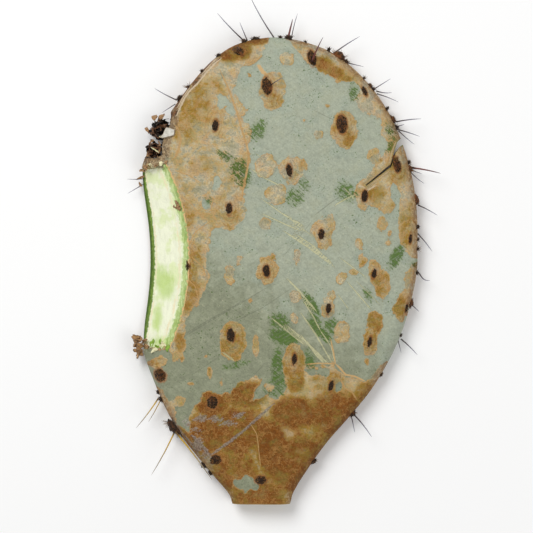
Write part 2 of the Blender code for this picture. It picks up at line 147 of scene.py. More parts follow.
# ---------------------------------------------------------------- cork on the skin, in mm
CORK_SHEETS = {
    "upper_left": [
        (-6.6, 150), (-6.6, 136), (-10.2, 127.6), (-16.4, 124), (-22.8, 121.6), (-24.6, 114.4),
        (-27.6, 107.4), (-22.8, 100), (-19.2, 95.2), (-23.4, 91.6), (-17.4, 87), (-16.2, 82), (-18.6, 75),
        (-17.4, 69), (-19.2, 60.4), (-19.8, 51), (-21, 45), (-22.4, 33.4), (-28.8, 24.4), (-37.8, 26.4),
        (-40.8, 22.6), (-42, 15), (-43.8, 7.6), (-42, 0.6), (-42, -5.6), (-44.4, -12.6), (-47.4, -19.4),
        (-52.8, -24), (-55.2, -29.4), (-57, -36.6), (-55.8, -44.4), (-57.6, -51.8), (-63, -54),
        (-66, -47), (-95, -46), (-95, 150),
    ],
    "upper_right": [
        (3.6, 150), (4.8, 138), (10.2, 132.6), (15, 126), (23.4, 118.8), (30.6, 116.2), (35.4, 112.8),
        (40.2, 112), (45.6, 113.6), (48.4, 109), (45.2, 102), (48.6, 96.4), (53.4, 92.4), (60, 90.4),
        (61.2, 85.6), (60.6, 79.2), (66.6, 77.4), (92, 77), (92, 150),
    ],
    "right": [
        (66.6, 77.4), (62.4, 72), (59.4, 64.6), (52.2, 57), (46.2, 52.2), (44.4, 45), (47.4, 38.4),
        (51, 35.2), (52.8, 39.6), (57, 38.2), (63, 34), (67.8, 35.2), (69.6, 39.6), (67.2, 43.8),
        (66, 48.6), (67.8, 52.8), (72.6, 48.4), (72, 39.6), (70.8, 30.4), (72, 21), (74.4, 13), (78, 8.4),
        (92, 6), (92, 77.4),
    ],
    "right_low": [
        (92, 5.4), (79.2, 4.8), (78, 2.4), (75.6, -2.4), (73.8, -8.6), (75.6, -11.6), (71.4, -15.8),
        (67.2, -19.4), (67.2, -24.6), (70.8, -28.4), (73.2, -30.2), (74.4, -26.4), (77.4, -26.4),
        (79.2, -17.6), (92, -17.6),
    ],
    "base": [
        (-76, -68), (-69.6, -70.4), (-66.6, -77.4), (-60.6, -75.6), (-55.8, -76.2), (-55.8, -81.2),
        (-61.8, -82.4), (-62.4, -86), (-60, -92), (-54, -96), (-53.4, -92), (-54, -86.4), (-51, -82.4),
        (-48, -78.8), (-45.6, -72), (-40.2, -70.4), (-34.2, -74), (-28.8, -72), (-23.4, -66),
        (-18, -65.6), (-14.4, -62), (-10.8, -65), (-13.2, -69), (-15, -74.6), (-16.2, -77.6),
        (-12, -76.4), (-7.8, -73.2), (-3, -76.4), (1.2, -74.4), (4.8, -69), (3, -62), (15, -56.4),
        (32.4, -55.4), (34.8, -60), (39.6, -63.2), (47.4, -64.4), (51.6, -67.4), (55.8, -62.6),
        (60, -57.2), (67.8, -51.6), (92, -47), (92, -160), (-95, -160), (-95, -68),
    ],
    "areole_middle": [
        (21, 29.4), (30.6, 34.2), (33, 30.6), (32.4, 20.8), (27.6, 11.4), (23.4, 14.8), (17.4, 23.4),
    ],
}
# Round cork spots: x, y, half width, half length, how brown from 0 (pale tan) to 1.
CORK_SPOTS = [
    (-3.9, 107.3, 7.8, 11.2, 0.35), (39, 83.9, 7.8, 11.4, 0.4), (7.6, 60, 7.4, 8.2, 0.2),
    (14.2, 62.6, 2.6, 3.2, 0.5), (-29.4, 36.9, 9.8, 11.6, 0.35), (-6.9, 0.2, 6.4, 8.6, 0.4),
    (-4.2, 8.6, 1.4, 2, 0.5), (56.7, -0.7, 3.8, 7.2, 0.5), (61.8, -7.9, 4.8, 8.4, 0.56),
    (28.8, -22.3, 3.8, 7, 0.3), (-27.3, -41.5, 8.2, 12, 0.6), (57, -30.7, 5, 6.8, 0.74),
    (54.3, -42.1, 4.4, 8.6, 0.64), (52.4, -53.6, 1.6, 2.4, 0.5), (8.7, -54.7, 6.8, 11.6, 0.6),
    (37.4, -36.5, 4.8, 5.8, 0.25), (4.8, 126.5, 3.8, 4.2, 0.1), (22.8, 80.9, 2.5, 2.6, 0.2),
    (-1.8, 45.5, 6, 6.4, 0.05), (-8.4, 27.8, 3.7, 4.4, 0.1), (61.2, 27.8, 3.7, 4.2, 0.35),
    (66, 22.6, 1, 1.4, 0.5), (47.4, 15.5, 2.6, 2.9, 0), (49.2, 5.9, 2.8, 3.4, 0.5),
    (44.4, -1.3, 1.6, 1.5, 0.6), (-23.8, 7.1, 2.2, 2.5, 0.3), (-29.4, -1.6, 3, 5.6, 0.1),
    (9.6, -15.1, 3.3, 4.2, 0), (9.3, -28.3, 2.1, 2.6, 0.15), (-5.4, -69.1, 2.5, 2.3, 0.3),
    (-17, -17.5, 1.2, 1.2, 0.6), (-41.2, -60.2, 1.3, 3.2, 0.6), (-7.8, 62.3, 6.2, 7.2, 0),
    (57, 68.3, 4.2, 4.6, 0.25), (60.6, 66, 1.3, 1.3, 0.8), (64.6, 16.8, 1.4, 1.2, 0.1),
    (10.8, 8.9, 2.6, 3.8, 0.05), (37.2, -4.9, 2.6, 3.8, 0.05), (30.6, -15.2, 2.2, 3.6, 0.05),
    (-17.8, 117, 1.1, 1.3, 0.8), (28.8, 97.2, 1, 1, 0.9), (-58, -52.6, 1.2, 1, 0.9),
    (-44, -50.4, 0.8, 0.8, 0.8), (20.2, -4.6, 0.8, 1, 0.7), (10.4, 4.6, 0.8, 1.2, 0.6),
    (-13.8, -44.6, 2, 6.4, 0.3), (-34.6, -64.6, 0.9, 1.6, 0.8), (-72.2, -54.4, 5.4, 3.6, 0.5),
    (-52, -67, 1.1, 0.9, 0.8), (-60.6, -62, 0.7, 0.7, 0.8), (15, 89.2, 1, 0.8, 0.4),
]
# The back face repeats some of the spots, mirrored.
BACK_SPOTS = CORK_SPOTS[16:34]
# Skin that shows through the cork: x, y, half width, half length.
CORK_GAPS = [
    (-34.2, 100.7, 3.4, 4.2), (-30, 94.7, 2.6, 3.2), (-37.4, 51.4, 2.6, 5.2), (-42.6, 41.3, 2.6, 3.6),
    (-20, -127, 7, 4.2), (26, -60.4, 3, 2.4), (36.6, -69.6, 3.2, 2.2), (18, -60, 2.8, 2),
]
# Stronger browns inside the sheets: x, y, half width, half length, weight.
BROWN_AREAS = [
    (-29.5, 131, 10, 7, 0.96), (-21.5, 132.5, 6.4, 7.6, 0.92), (-13, 138.8, 9, 4.6, 0.92),
    (-1.6, 134.4, 4.6, 3.4, 0.8), (-51, 101, 14, 15, 0.5), (-57, 85, 8, 12, 0.44), (-54, -12, 8, 16, 0.6),
    (-50, 8, 7, 12, 0.44), (-54, 32, 5, 9, 0.46), (-40, 110, 8, 6, 0.4), (-46, 63, 9, 7, 0.36),
    (-59, -42, 4, 7, 0.66), (26, 123, 8, 6, 0.74), (33, 118, 7, 5, 0.84), (40, 114, 4, 3.4, 0.7),
    (58, 46, 7, 7, 0.46), (71, 58, 8, 8, 0.4), (77, 28, 6, 17, 0.44), (71, -21, 6, 7, 0.66),
    (60, 76, 5, 8, 0.2), (-40, -79, 13, 10, 0.94), (-44, -98, 18, 15, 0.98), (-20, -74, 15, 10, 0.92),
    (-24, -96, 24, 18, 0.94), (-26, -120, 18, 16, 0.84), (-4, -106, 11, 22, 1.06), (9, -85, 17, 12, 1),
    (34, -86, 20, 18, 0.94), (54, -74, 12, 10, 0.72), (12, -116, 26, 22, 0.96), (-12, -136, 20, 12, 0.92),
    (29, -99, 14, 13, 0.72), (48, 44, 7, 8, 0.25), (30, -66, 14, 8, 0.48), (10, -66, 6, 8, 0.8),
    (-1.6, 101.6, 5.4, 6, 0.66), (41.4, 78.4, 5.2, 6.4, 0.66), (-26.8, 33, 6, 6, 0.5),
]
# Bloom and skin rubbed off to bright green: x, y, half width, half length, tilt, solidity 0 to 1.
RUBBED = [
    (-12.6, 83.6, 4.6, 6.2, -30, 0.45), (-23, 58.4, 5.6, 8.6, 20, 0.68), (-32, 68.2, 2, 5, 60, 0.8),
    (9, 43.7, 5.4, 5.4, 0, 0.35), (40, 46.8, 5.4, 6.4, 50, 0.5), (70, 8.6, 3.2, 7.6, -28, 0.8),
    (44.6, 106.6, 3, 5.6, 0, 0.3), (0.4, -30.4, 4.4, 5.8, 60, 0.75), (2.8, -39.8, 4.4, 8.8, 75, 0.9),
    (19, -19.6, 2.6, 8.4, 34, 0.9), (24.4, -35.6, 2.8, 10, 42, 1), (-0.4, -58, 4.4, 13, 0, 0.5),
    (-2.4, -69, 6, 6, 0, 0.42), (17.6, -52.6, 4, 6.4, 20, 0.45), (21.2, -28.6, 2.4, 5, 30, 0.7),
    (32.6, -34, 4.2, 7.4, 40, 0.4), (53, -14.2, 2, 3.4, 30, 0.6), (82, 3.8, 3.4, 2, 0, 0.7),
    (-7.6, -2.8, 2.4, 1.6, 0, 0), (66.4, 83.4, 3, 5, 20, 0.4), (-42, 41.6, 2, 2.6, 0, 0.6),
    (67.2, 74.4, 2, 3.6, -30, 1), (13.6, 53, 2.6, 6, 40, 0.3), (-26, -56, 9, 2.6, 15, 0.2),
]
# Lines on the skin, by family: corners and half width.
MARKS = {
    "scratch": [
        ([(-17, 60.8), (-8, 55), (2.4, 49.7)], 0.42), ([(-10.8, 43.1), (2, 34), (15, 26.6)], 0.36),
        ([(-10.2, 34.1), (4, 27.6), (13.8, 23.4)], 0.3), ([(2.4, 23.9), (18, 13.6), (33, 2.3)], 0.42),
        ([(9, 22.4), (20, 15), (31.6, 4.6)], 0.34), ([(4.8, -4.6), (12, -12), (22.2, -24.1)], 0.5),
        ([(14, -17), (19.6, -26), (24.6, -35.6)], 0.42), ([(24.6, -35.6), (31, -45), (33.4, -54.6)], 0.4),
        ([(12.6, -24.5), (22, -38), (31.4, -54.6)], 0.4), ([(-4.8, -27.7), (5, -36), (15.6, -44.5)], 0.4),
        ([(3.6, -31.6), (16, -42), (30.4, -56.4)], 0.5), ([(13, -38), (22, -50), (27, -55.4)], 0.4),
        ([(33, 39), (40, 43), (46.2, 45.6)], 0.4), ([(40.2, -6.1), (48, -15), (55.2, -23.5)], 0.3),
        ([(38.4, 49.6), (42, 46), (44.6, 42.4)], 0.26), ([(34.8, -13.8), (41.4, -22.8)], 0.26),
        ([(-33.6, -48.4), (-27, -53.2)], 0.5), ([(4, 63.8), (16, 55.4)], 0.26),
        ([(-14, 70), (-2, 60)], 0.22), ([(6, 31), (22, 19)], 0.22), ([(36, 8), (52, -4)], 0.24),
        ([(46, -6), (60, -20)], 0.22),
    ],
    "hairline": [
        ([(-62.4, -42.7), (-36, -27), (-4.8, -8.5)], 0.28), ([(-34, -34), (-10, -22), (8, -10)], 0.22),
        ([(39.6, 46.7), (30, 40), (21, 33)], 0.26), ([(-58, -38.4), (-22, -18)], 0.2),
        ([(-30, -80), (-18, -66), (-8, -54)], 0.22), ([(-52, -62), (-34, -50)], 0.18),
        ([(20, 96), (44, 84)], 0.16), ([(2, 8), (20, 30)], 0.16),
    ],
    "tan": [
        ([(-35.4, 120), (-31.6, 112), (-28.8, 105), (-24.8, 93.6), (-22.2, 84), (-19.4, 75.6),
          (-18, 69.4), (-18.8, 61), (-20.2, 54.4), (-21.4, 47.6), (-22.4, 41.2)], 0.55),
        ([(-62, 87), (-59.6, 82.8), (-58.6, 78.4), (-59.8, 72.4), (-61.8, 67.8), (-63.4, 66.4)], 0.6),
        ([(-12.6, 122.9), (-9.6, 118.4), (-7.2, 116.8)], 1),
        ([(30.6, -40.3), (32.4, -48.7), (33.6, -55.3)], 0.4),
        ([(33.6, -55.3), (36.6, -58.3), (39.6, -61.9), (45.6, -63.1), (51.6, -66)], 0.5),
        ([(16, -55.6), (24, -55), (33.6, -55.3)], 0.34),
        ([(36.6, -64.3), (39, -69.7), (43.8, -72.7), (46.8, -77.5)], 0.4),
        ([(-17.6, -90), (-13.4, -97), (-12.4, -104), (-11, -117)], 0.24),
        ([(-55, 13), (-50, 23), (-41.6, 29)], 0.34), ([(-52.6, 8.6), (-46, 3), (-43, -4)], 0.3),
        ([(-59, 45), (-53, 41), (-47, 33), (-42, 30)], 0.3), ([(-57, -3), (-50, -9), (-47.6, -19)], 0.28),
        ([(-62, 60), (-54, 57), (-46, 52)], 0.28), ([(-38.6, 44.6), (-40.6, 36), (-36, 27.6)], 0.26),
    ],
    "peel": [
        ([(-34.2, 127), (-37.8, 124.6), (-44.4, 117.4), (-48.6, 112), (-53.4, 107.6), (-56.2, 103.6),
          (-59, 97.6), (-61.6, 92)], 0.48),
        ([(-37, 128), (-42, 122.4), (-46.6, 117)], 0.24), ([(-53, 110.4), (-58, 103), (-61, 97)], 0.26),
    ],
    "lip": [
        ([(52, 52.2), (58, 57), (65.4, 63.4)], 0.42), ([(54, 51.2), (60, 55.4), (66, 60)], 0.36),
        ([(65.4, 63.6), (67.4, 71.2), (69.6, 76.8)], 0.4),
        ([(46.6, 50.8), (50, 50.2), (52.6, 48), (58, 51)], 0.4),
    ],
    "scar": [
        ([(-41.4, -110.4), (-33, -104.4), (-24, -97.6), (-15, -89.6), (-8.4, -83.6), (-3, -78.8)], 0.75),
        ([(-52, -98), (-46, -104), (-40, -112)], 0.9), ([(-66, -86), (-58, -97), (-48, -108)], 0.7),
    ],
}
# Silvery dead skin near the base: x, y, half width, half length.
GREY_FLAKES = [
    (-46, -88, 6, 3), (-38, -88.6, 7, 2.6), (-30, -90.4, 6, 2.6), (-48.6, -104, 4, 7),
    (-43.6, -110.6, 3.6, 4.4), (-55, -91, 2.6, 3.6), (-24, -86, 5, 2.4), (-49, -95, 4, 2),
    (-72, -77, 3, 6), (-69, -84.6, 3, 6),
]

# Greener, wetter places in the cut flesh: x, y, half width, half length, tilt.
SMEARS = [(-68.6, -7, 6, 11, 20), (-69.6, -43, 8, 4.6, 0), (-73, -30, 3, 10, 0)]


# ---------------------------------------------------------------- colours
def display(red, green, blue):
    """Linear colour of a shade given as it looks on a screen, 0 to 255."""
    shares = (channel / 255.0 for channel in (red, green, blue))
    return tuple(s / 12.92 if s <= 0.04045 else ((s + 0.055) / 1.055) ** 2.4 for s in shares)


def colour_property(name, text, value):
    return FloatVectorProperty(
        name=name, description=text, subtype="COLOR", size=3, min=0.0, max=1.0, default=value)


def length_property(name, text, value):
    return FloatProperty(name=name, description=text, default=value, unit="LENGTH", precision=5)


class PadSettings(PropertyGroup):
    """Sizes and colours of the pad and its felt."""

    cells_across: IntProperty(
        name="Cells across", description="Mesh cells across the front face", default=176, min=40)
    cork_relief: length_property("Cork relief", "How far cork stands above the skin", 0.28 * MM)
    cushion_rise: length_property("Cushion rise", "Height of the swelling under an areole", 1.15 * MM)
    bristle_radius: length_property("Bristle radius", "Half thickness of a glochid at its root", 0.07 * MM)
    # Bloom and Skin blend along the sunlit slope. The darker skin towards the lower left is partly the skin's
    # own colour and partly painted shade.
    bloom: colour_property("Bloom", "Waxy skin near the tip", display(165, 171, 151))
    skin: colour_property("Skin", "Waxy skin near the base", display(137, 141, 116))
    skin_cool: colour_property("Cool skin", "Bluer, thicker wax", display(152, 164, 148))
    skin_warm: colour_property("Warm skin", "Yellower skin between", display(154, 157, 132))
    rubbed: colour_property("Rubbed skin", "Green where the wax is gone", display(78, 106, 38))
    rubbed_thin: colour_property("Thin rubbed skin", "Green where the wax is thin", display(112, 132, 82))
    scratch: colour_property("Scratch", "Dry scratches in the wax", display(200, 196, 152))
    cork_faint: colour_property("Faint cork", "Thinnest, palest cork", display(216, 202, 166))
    cork_pale: colour_property("Pale cork", "Thin tan cork", display(200, 179, 130))
    cork_ochre: colour_property("Ochre cork", "Older golden cork", display(164, 129, 48))
    cork_olive: colour_property("Olive cork", "Cork over green skin", display(152, 135, 68))
    cork_brown: colour_property("Brown cork", "Oldest rust-brown cork", display(130, 77, 20))
    cork_line: colour_property("Cork edge", "Raised edge of a cork patch", display(208, 166, 108))
    cork_pink: colour_property("Pinkish cork", "Dry pinkish cork", display(202, 166, 128))
    collar: colour_property("Collar", "Rusty ring round an areole", display(160, 104, 56))
    dry_grey: colour_property("Dry grey", "Silvery dead skin", display(172, 162, 150))
    flesh: colour_property("Flesh", "Wet flesh in the knife cut", display(250, 253, 224))
    flesh_green: colour_property("Green layer", "Green under the skin, in the cut", display(116, 148, 46))
    flesh_dark: colour_property("Dark green layer", "Green at the cut's back edge", display(70, 98, 16))
    felt_dark: colour_property("Felt", "Oldest felt in an areole", display(44, 33, 22))
    felt_red: colour_property("Brown felt", "Younger rust-coloured felt", display(122, 74, 38))


class SpineSettings(PropertyGroup):
    """Shape and colours of the spines."""

    rings: IntProperty(name="Rings", description="Rings along a spine", default=18, min=4)
    sides: IntProperty(name="Sides", description="Sides of a spine", default=10, min=5)
    root: length_property("Root", "Length of spine that stands in the felt", 1.4 * MM)
    base: colour_property("Base", "Spine near its areole", display(58, 38, 40))
    tip: colour_property("Tip", "Dry grey end of a spine", display(114, 112, 128))
    straw: colour_property("Straw", "Yellow base of the lowest spines", display(196, 158, 46))
    straw_tip: colour_property("Straw tip", "Grey end of the lowest spines", display(150, 140, 120))


class DriedSettings(PropertyGroup):
    """Colours of the dried pieces in the wound and at the cut's ends."""

    crust: colour_property("Crust", "Blackened dried tissue", display(36, 31, 28))
    crust_rim: colour_property("Crust rim", "Brown edges of the crust", display(124, 82, 54))
    paper: colour_property("Paper", "White dead skin", display(226, 222, 210))
    scale: colour_property("Scale", "Orange-brown dried scale", display(198, 150, 94))
    shred: colour_property("Shred", "Torn green skin at the cut", display(140, 176, 62))


class StageSettings(PropertyGroup):
    """Floor, light and camera."""

    floor: colour_property("Floor", "Pale floor", (0.97, 0.97, 0.965))
    key: FloatProperty(name="Key", description="Power of the large soft light", default=5.3, min=0.0)
    fill: FloatProperty(name="Fill", description="Brightness of the surroundings", default=0.43, min=0.0)
    distance: length_property("Camera height", "Height of the camera over the rim", 1.3)
    view_width: length_property("View width", "Width seen at the rim's height", 0.3198)
    aim_x: length_property("Aim across", "What the camera looks at, across", -0.0075)
    aim_y: length_property("Aim along", "What the camera looks at, along", 0.0026)


# ---------------------------------------------------------------- plane geometry, in mm
def closed_curve(points, count):
    """A smooth closed curve through the points, as count places evenly spaced along it."""
    corners = np.array(points, float)
    before, start, end, after = (np.roll(corners, -k, axis=0)[:, None] for k in (-1, 0, 1, 2))
    t = np.linspace(0.0, 1.0, 24, endpoint=False)[None, :, None]
    fine = 0.5 * (
        2.0 * start + (end - before) * t
        + (2.0 * before - 5.0 * start + 4.0 * end - after) * t ** 2
        + (3.0 * start - before - 3.0 * end + after) * t ** 3)
    fine = fine.reshape(-1, 2)
    steps = np.hypot(*(np.roll(fine, -1, axis=0) - fine).T)
    travelled = np.concatenate([[0.0], np.cumsum(steps)])
    wanted = travelled[-1] * np.arange(count) / count
    loop = np.vstack([fine, fine[:1]])
    return np.column_stack([np.interp(wanted, travelled, loop[:, axis]) for axis in (0, 1)])


def distance_to_loop(places, corners):
    """Shortest distance from each place to a closed line of corners."""
    shortest = np.full(len(places), np.inf)
    for start, end in zip(corners, np.roll(corners, -1, axis=0)):
        side = end - start
        share = np.clip((places - start) @ side / (side @ side), 0.0, 1.0)
        offset = places - start - share[:, None] * side
        shortest = np.minimum(shortest, np.hypot(offset[:, 0], offset[:, 1]))
    return shortest


def depth_inside(places, corners):
    """Distance to a closed line of corners, above 0 inside it and below 0 outside."""
    corners = np.asarray(corners, float)
    inside = np.zeros(len(places), bool)
    for start, end in zip(corners, np.roll(corners, -1, axis=0)):
        spans = (start[1] > places[:, 1]) != (end[1] > places[:, 1])
        rise = end[1] - start[1] or 1e-9
        crossing = start[0] + (places[:, 1] - start[1]) / rise * (end[0] - start[0])
        inside ^= spans & (places[:, 0] < crossing)
    return np.where(inside, 1.0, -1.0) * distance_to_loop(places, corners)


def depth_in_oval(places, x, y, half_width, half_length, tilt=0.0):
    """About the distance to an oval's edge, above 0 inside it. Tilt is anticlockwise, in degrees."""
    turn = math.radians(tilt)
    offset = places - (x, y)
    across = offset[:, 0] * math.cos(turn) + offset[:, 1] * math.sin(turn)
    along = offset[:, 1] * math.cos(turn) - offset[:, 0] * math.sin(turn)
    reach = np.hypot(across / half_width, along / half_length)
    return (1.0 - reach) * (half_width + half_length) / 2.0


def deepest(places, ovals, start):
    """The greatest depth inside any of the ovals, and at least start."""
    for oval in ovals:
        start = np.maximum(start, depth_in_oval(places, *oval))
    return start


def smooth(value, low, high):
    """A smooth step from 0 at low to 1 at high; low may be above high."""
    share = np.clip((value - low) / (high - low), 0.0, 1.0)
    return share * share * (3.0 - 2.0 * share)


def ripple(places, size, seed):
    """Smooth waves between about -1 and 1, with bumps of the given size, the same for the same seed."""
    rng = np.random.default_rng(seed)
    total = np.zeros(len(places))
    waves = 9
    for _ in range(waves):
        heading = rng.uniform(0.0, math.tau)
        pitch = math.tau / (size * rng.uniform(1.3, 3.2))
        along = places @ (math.cos(heading), math.sin(heading))
        total += np.sin(along * pitch + rng.uniform(0.0, math.tau))
    return total / math.sqrt(waves)


# ---------------------------------------------------------------- the pad's section, in mm
def rounded(share):
    """Rises steeply from 0, as a rounded rim does, to 1."""
    return (1.0 - (1.0 - np.minimum(share, 1.0)) ** RIM_ROUNDNESS) ** (1.0 / RIM_ROUNDNESS)


def eased(share):
    """Rises from 0 and levels off at 1."""
    return 1.0 - (1.0 - np.minimum(share, 1.0)) ** 2


def front_height(d):
    """Height of the front face at a distance in from the outline."""
    return RIM_HEIGHT + RIM_TOP_RISE * rounded(d / RIM_TOP_WIDTH) + CROWN_RISE * eased(d / CROWN_WIDTH)


def back_height(d):
    """Height of the back face at a distance in from the outline."""
    return RIM_HEIGHT - RIM_UNDER_DROP * rounded(d / RIM_UNDER_WIDTH) - BELLY_DROP * eased(d / BELLY_WIDTH)


def cut_height(places):
    """Height of the knife's cone over each place."""
    reach = np.hypot(places[:, 0] - CUT_CENTRE[0], places[:, 1] - CUT_CENTRE[1])
    return (reach - CUT_RADIUS) / CUT_SPREAD


class PadForm:
    """The pad's outline before and after the cuts, and the height of its faces."""

    EDGE = 0.15             # the rim's upright band starts this far in from the outline
    LIP = 0.25              # thickness left at the knife cut's thin back edge
    CUTS_LEFT_OF = -40.0    # the knife cut and the wound lie left of this
    SHALLOWEST = 0.80       # and take away nothing below this share of the reach
    CORNERS, HEADINGS, TRIES = 420, 2880, 320

    def __init__(self):
        self.outline = closed_curve(OUTLINE, self.CORNERS)
        angles = np.arctan2(self.outline[:, 1], self.outline[:, 0])
        order = np.argsort(angles)
        self.angles = angles[order]
        self.reaches = np.hypot(*self.outline[order].T)

    def uncut_reach(self, angle):
        """Distance from the middle to the outline before the cuts."""
        return np.interp(angle, self.angles, self.reaches, period=math.tau)

    def depth(self, places):
        """Distance in from the uncut outline."""
        return np.maximum(distance_to_loop(places, self.outline), self.EDGE)

    def reach(self, angle):
        """Distance from the middle to the cut outline, for each angle."""
        fine = np.linspace(0.0, math.tau, self.HEADINGS, endpoint=False)
        whole = self.uncut_reach(fine)
        facing = whole / np.hypot(whole, np.gradient(whole, fine))
        shares = np.linspace(self.SHALLOWEST, 1.0, self.TRIES)
        radii = whole[:, None] * shares
        depth = np.maximum((whole[:, None] - radii) * facing[:, None], self.EDGE).ravel()
        places = np.stack([radii * np.cos(fine)[:, None], radii * np.sin(fine)[:, None]], axis=-1)
        places = places.reshape(-1, 2)
        gone = np.zeros(len(places), bool)
        near = places[:, 0] < self.CUTS_LEFT_OF
        thin = cut_height(places[near]) < back_height(depth[near]) + self.LIP
        windowed = depth_inside(places[near], CUT_WINDOW) > 0.0
        gone[near] = (thin & windowed) | (depth_inside(places[near], WOUND) > 0.0)
        gone = gone.reshape(radii.shape)
        first = np.maximum(np.argmax(gone, axis=1) - 1, 0)
        cut = np.where(gone.any(axis=1), radii[np.arange(len(fine)), first], whole)
        return np.minimum(np.interp(angle, fine, cut, period=math.tau), stem_reach(angle))


def disc_places(cells_x, cells_y):
    """A square grid of places drawn out to fill a unit disc."""
    u, v = np.meshgrid(
        np.linspace(-1, 1, cells_x + 1), np.linspace(-1, 1, cells_y + 1), indexing="ij")
    return np.stack([u * np.sqrt(1 - v ** 2 / 2), v * np.sqrt(1 - u ** 2 / 2)], axis=-1).reshape(-1, 2)


def grid_quads(cells_x, cells_y):
    """The corners of each cell of a grid."""
    index = np.arange((cells_x + 1) * (cells_y + 1)).reshape(cells_x + 1, cells_y + 1)
    quads = [index[:-1, :-1], index[1:, :-1], index[1:, 1:], index[:-1, 1:]]
    return np.stack(quads, axis=-1).reshape(-1, 4)


def grid_border(cells_x, cells_y):
    """The grid's border, counter-clockwise from its low corner."""
    index = np.arange((cells_x + 1) * (cells_y + 1)).reshape(cells_x + 1, cells_y + 1)
    return np.concatenate([index[:-1, 0], index[-1, :-1], index[:0:-1, -1], index[0, :0:-1]])


def stem_reach(angle):
    """Distance from the middle to the stem's flat cut, for each angle; far away off its side."""
    down = np.sin(angle)
    return np.where(down < -0.5, STEM_CUT_Y / np.minimum(down, -0.5), 1000.0)


def plan_places(form, cells_x, cells_y):
    """The grid laid over the pad's plan, following the cut outline only near the rim."""
    disc = disc_places(cells_x, cells_y)
    half = np.ptp(form.outline, axis=0) / 2
    angle = np.arctan2(disc[:, 1] * half[1], disc[:, 0] * half[0])
    share = np.minimum(np.hypot(disc[:, 0], disc[:, 1]), 1.0)
    share = 0.72 * share + 0.28 * np.sin(share * math.pi / 2)       # finer cells near the rim
    whole = np.minimum(form.uncut_reach(angle), stem_reach(angle))
    radius = share * (whole + (form.reach(angle) - whole) * share ** 4)
    return np.column_stack([radius * np.cos(angle), radius * np.sin(angle)])


# ---------------------------------------------------------------- what grows where on the skin
def cork_depth(places, back=False):
    """Distance in from the edge of the cork, above 0 on cork."""
    depth = -FAR
    for name, corners in CORK_SHEETS.items():
        if not (back and name == "areole_middle"):
            depth = np.maximum(depth, depth_inside(places, corners))
    if back:
        depth = deepest(places, [(x + 1.0, y - 1.5, 7.0, 9.0) for x, y in back_areoles()], depth)
        mirrored = [(9.0 - x, y - 14.0, *half_sizes) for x, y, *half_sizes, _ in BACK_SPOTS]
        depth = deepest(places, mirrored, depth) + ripple(places, 14.0, 21) * 3.0
    else:
        depth = deepest(places, [spot[:4] for spot in CORK_SPOTS], depth)
        for gap in CORK_GAPS:
            depth = np.minimum(depth, ripple(places, 3.4, 23) * 1.1 - depth_in_oval(places, *gap))
    wander = ripple(places, 3.2, 5) * 0.55 + ripple(places, 7.0, 6) * 0.5
    return depth + wander * smooth(np.abs(depth), 6.0, 0.0)


def brownness(places, back=False):
    """How old and brown the cork is, from 0 to about 1."""
    total = 0.14 + 0.10 * ripple(places, 16.0, 8)
    for x, y, half_width, half_length, weight in BROWN_AREAS:
        reach = np.hypot((places[:, 0] - x) / half_width, (places[:, 1] - y) / half_length)
        total = np.maximum(total, weight * smooth(reach, 1.25, 0.55))
    if not back:
        for x, y, half_width, half_length, weight in CORK_SPOTS:
            inside = smooth(depth_in_oval(places, x, y, half_width, half_length), -0.8, 0.8)
            shade = np.maximum(weight - 0.10, (total - 0.16) * (weight > 0.3))
            total = total * (1.0 - inside) + shade * inside
    return total


def felt_oval(row):
    """Oval of an areole's felt, with half its width and half its length."""
    x, y, width, length, tilt = row[:5]
    return x, y, width / 2, length / 2, tilt


def nearest_felt(places, rows):
    """Distance out from the edge of the nearest areole's felt."""
    return -deepest(places, [felt_oval(row) for row in rows], -FAR)


def back_areoles():
    """Areoles of the back face, in staggered rows."""
    places = []
    for row in range(BACK_ROWS):
        y = BACK_FIRST_ROW + row * BACK_ROW_STEP
        shift = 0.0 if row % 2 else BACK_STEP / 2
        span = 1.0 - ((y - BACK_OVAL_Y) / BACK_OVAL_LENGTH) ** 2
        half_width = BACK_OVAL_WIDTH * math.sqrt(max(0.0, span))
        for column in range(-3, 4):
            x = column * BACK_STEP + shift - 4.0
            if abs(x + 2.0) < half_width - 6.0:
                places.append((x, y + 3.0 * math.sin(x)))
    return places


def beside_lines(places, lines):
    """Signed distance to the nearest line, distance to its nearest point, and its half width there.
    A line is a list of corners and a half width; it thins out at both ends."""
    signed = np.full(len(places), 30.0)
    nearest = np.full(len(places), 30.0)
    width = np.zeros(len(places))
    for corners, half_width in lines:
        corners = np.asarray(corners, float)
        sides = np.diff(corners, axis=0)
        lengths = np.hypot(sides[:, 0], sides[:, 1])
        travelled = np.concatenate([[0.0], np.cumsum(lengths)])
        for start, side, length, before in zip(corners, sides, lengths, travelled):
            share = np.clip((places - start) @ side / length ** 2, 0.0, 1.0)
            offset = places - start - share[:, None] * side
            away = np.hypot(offset[:, 0], offset[:, 1])
            closer = away < nearest
            across = ((places - start) @ np.array((-side[1], side[0]))) / length
            ends = (before + share * length) / travelled[-1]
            taper = smooth(ends, -0.02, 0.15) * smooth(ends, 1.02, 0.85)
            signed = np.where(closer, np.where(np.abs(across) < away - 0.01, away, across), signed)
            width = np.where(closer, half_width * (0.25 + 0.75 * taper), width)
            nearest = np.minimum(nearest, away)
    return signed, nearest, width


def rubbed_weight(places):
    """How much wax is rubbed off, and how solid the rubbing is."""
    weight = np.zeros(len(places))
    solid = np.zeros(len(places))
    for x, y, half_width, half_length, tilt, solidity in RUBBED:
        here = smooth(depth_in_oval(places, x, y, half_width, half_length, tilt), -3.4, 3.6)
        solid = np.where(here > weight, solidity, solid)
        weight = np.maximum(weight, here)
    for x, y, half_width, half_length, _ in CORK_SPOTS:
        weight = weight * smooth(depth_in_oval(places, x, y, half_width, half_length), 1.0, -1.0)
    return weight * (0.40 + 0.62 * solid)


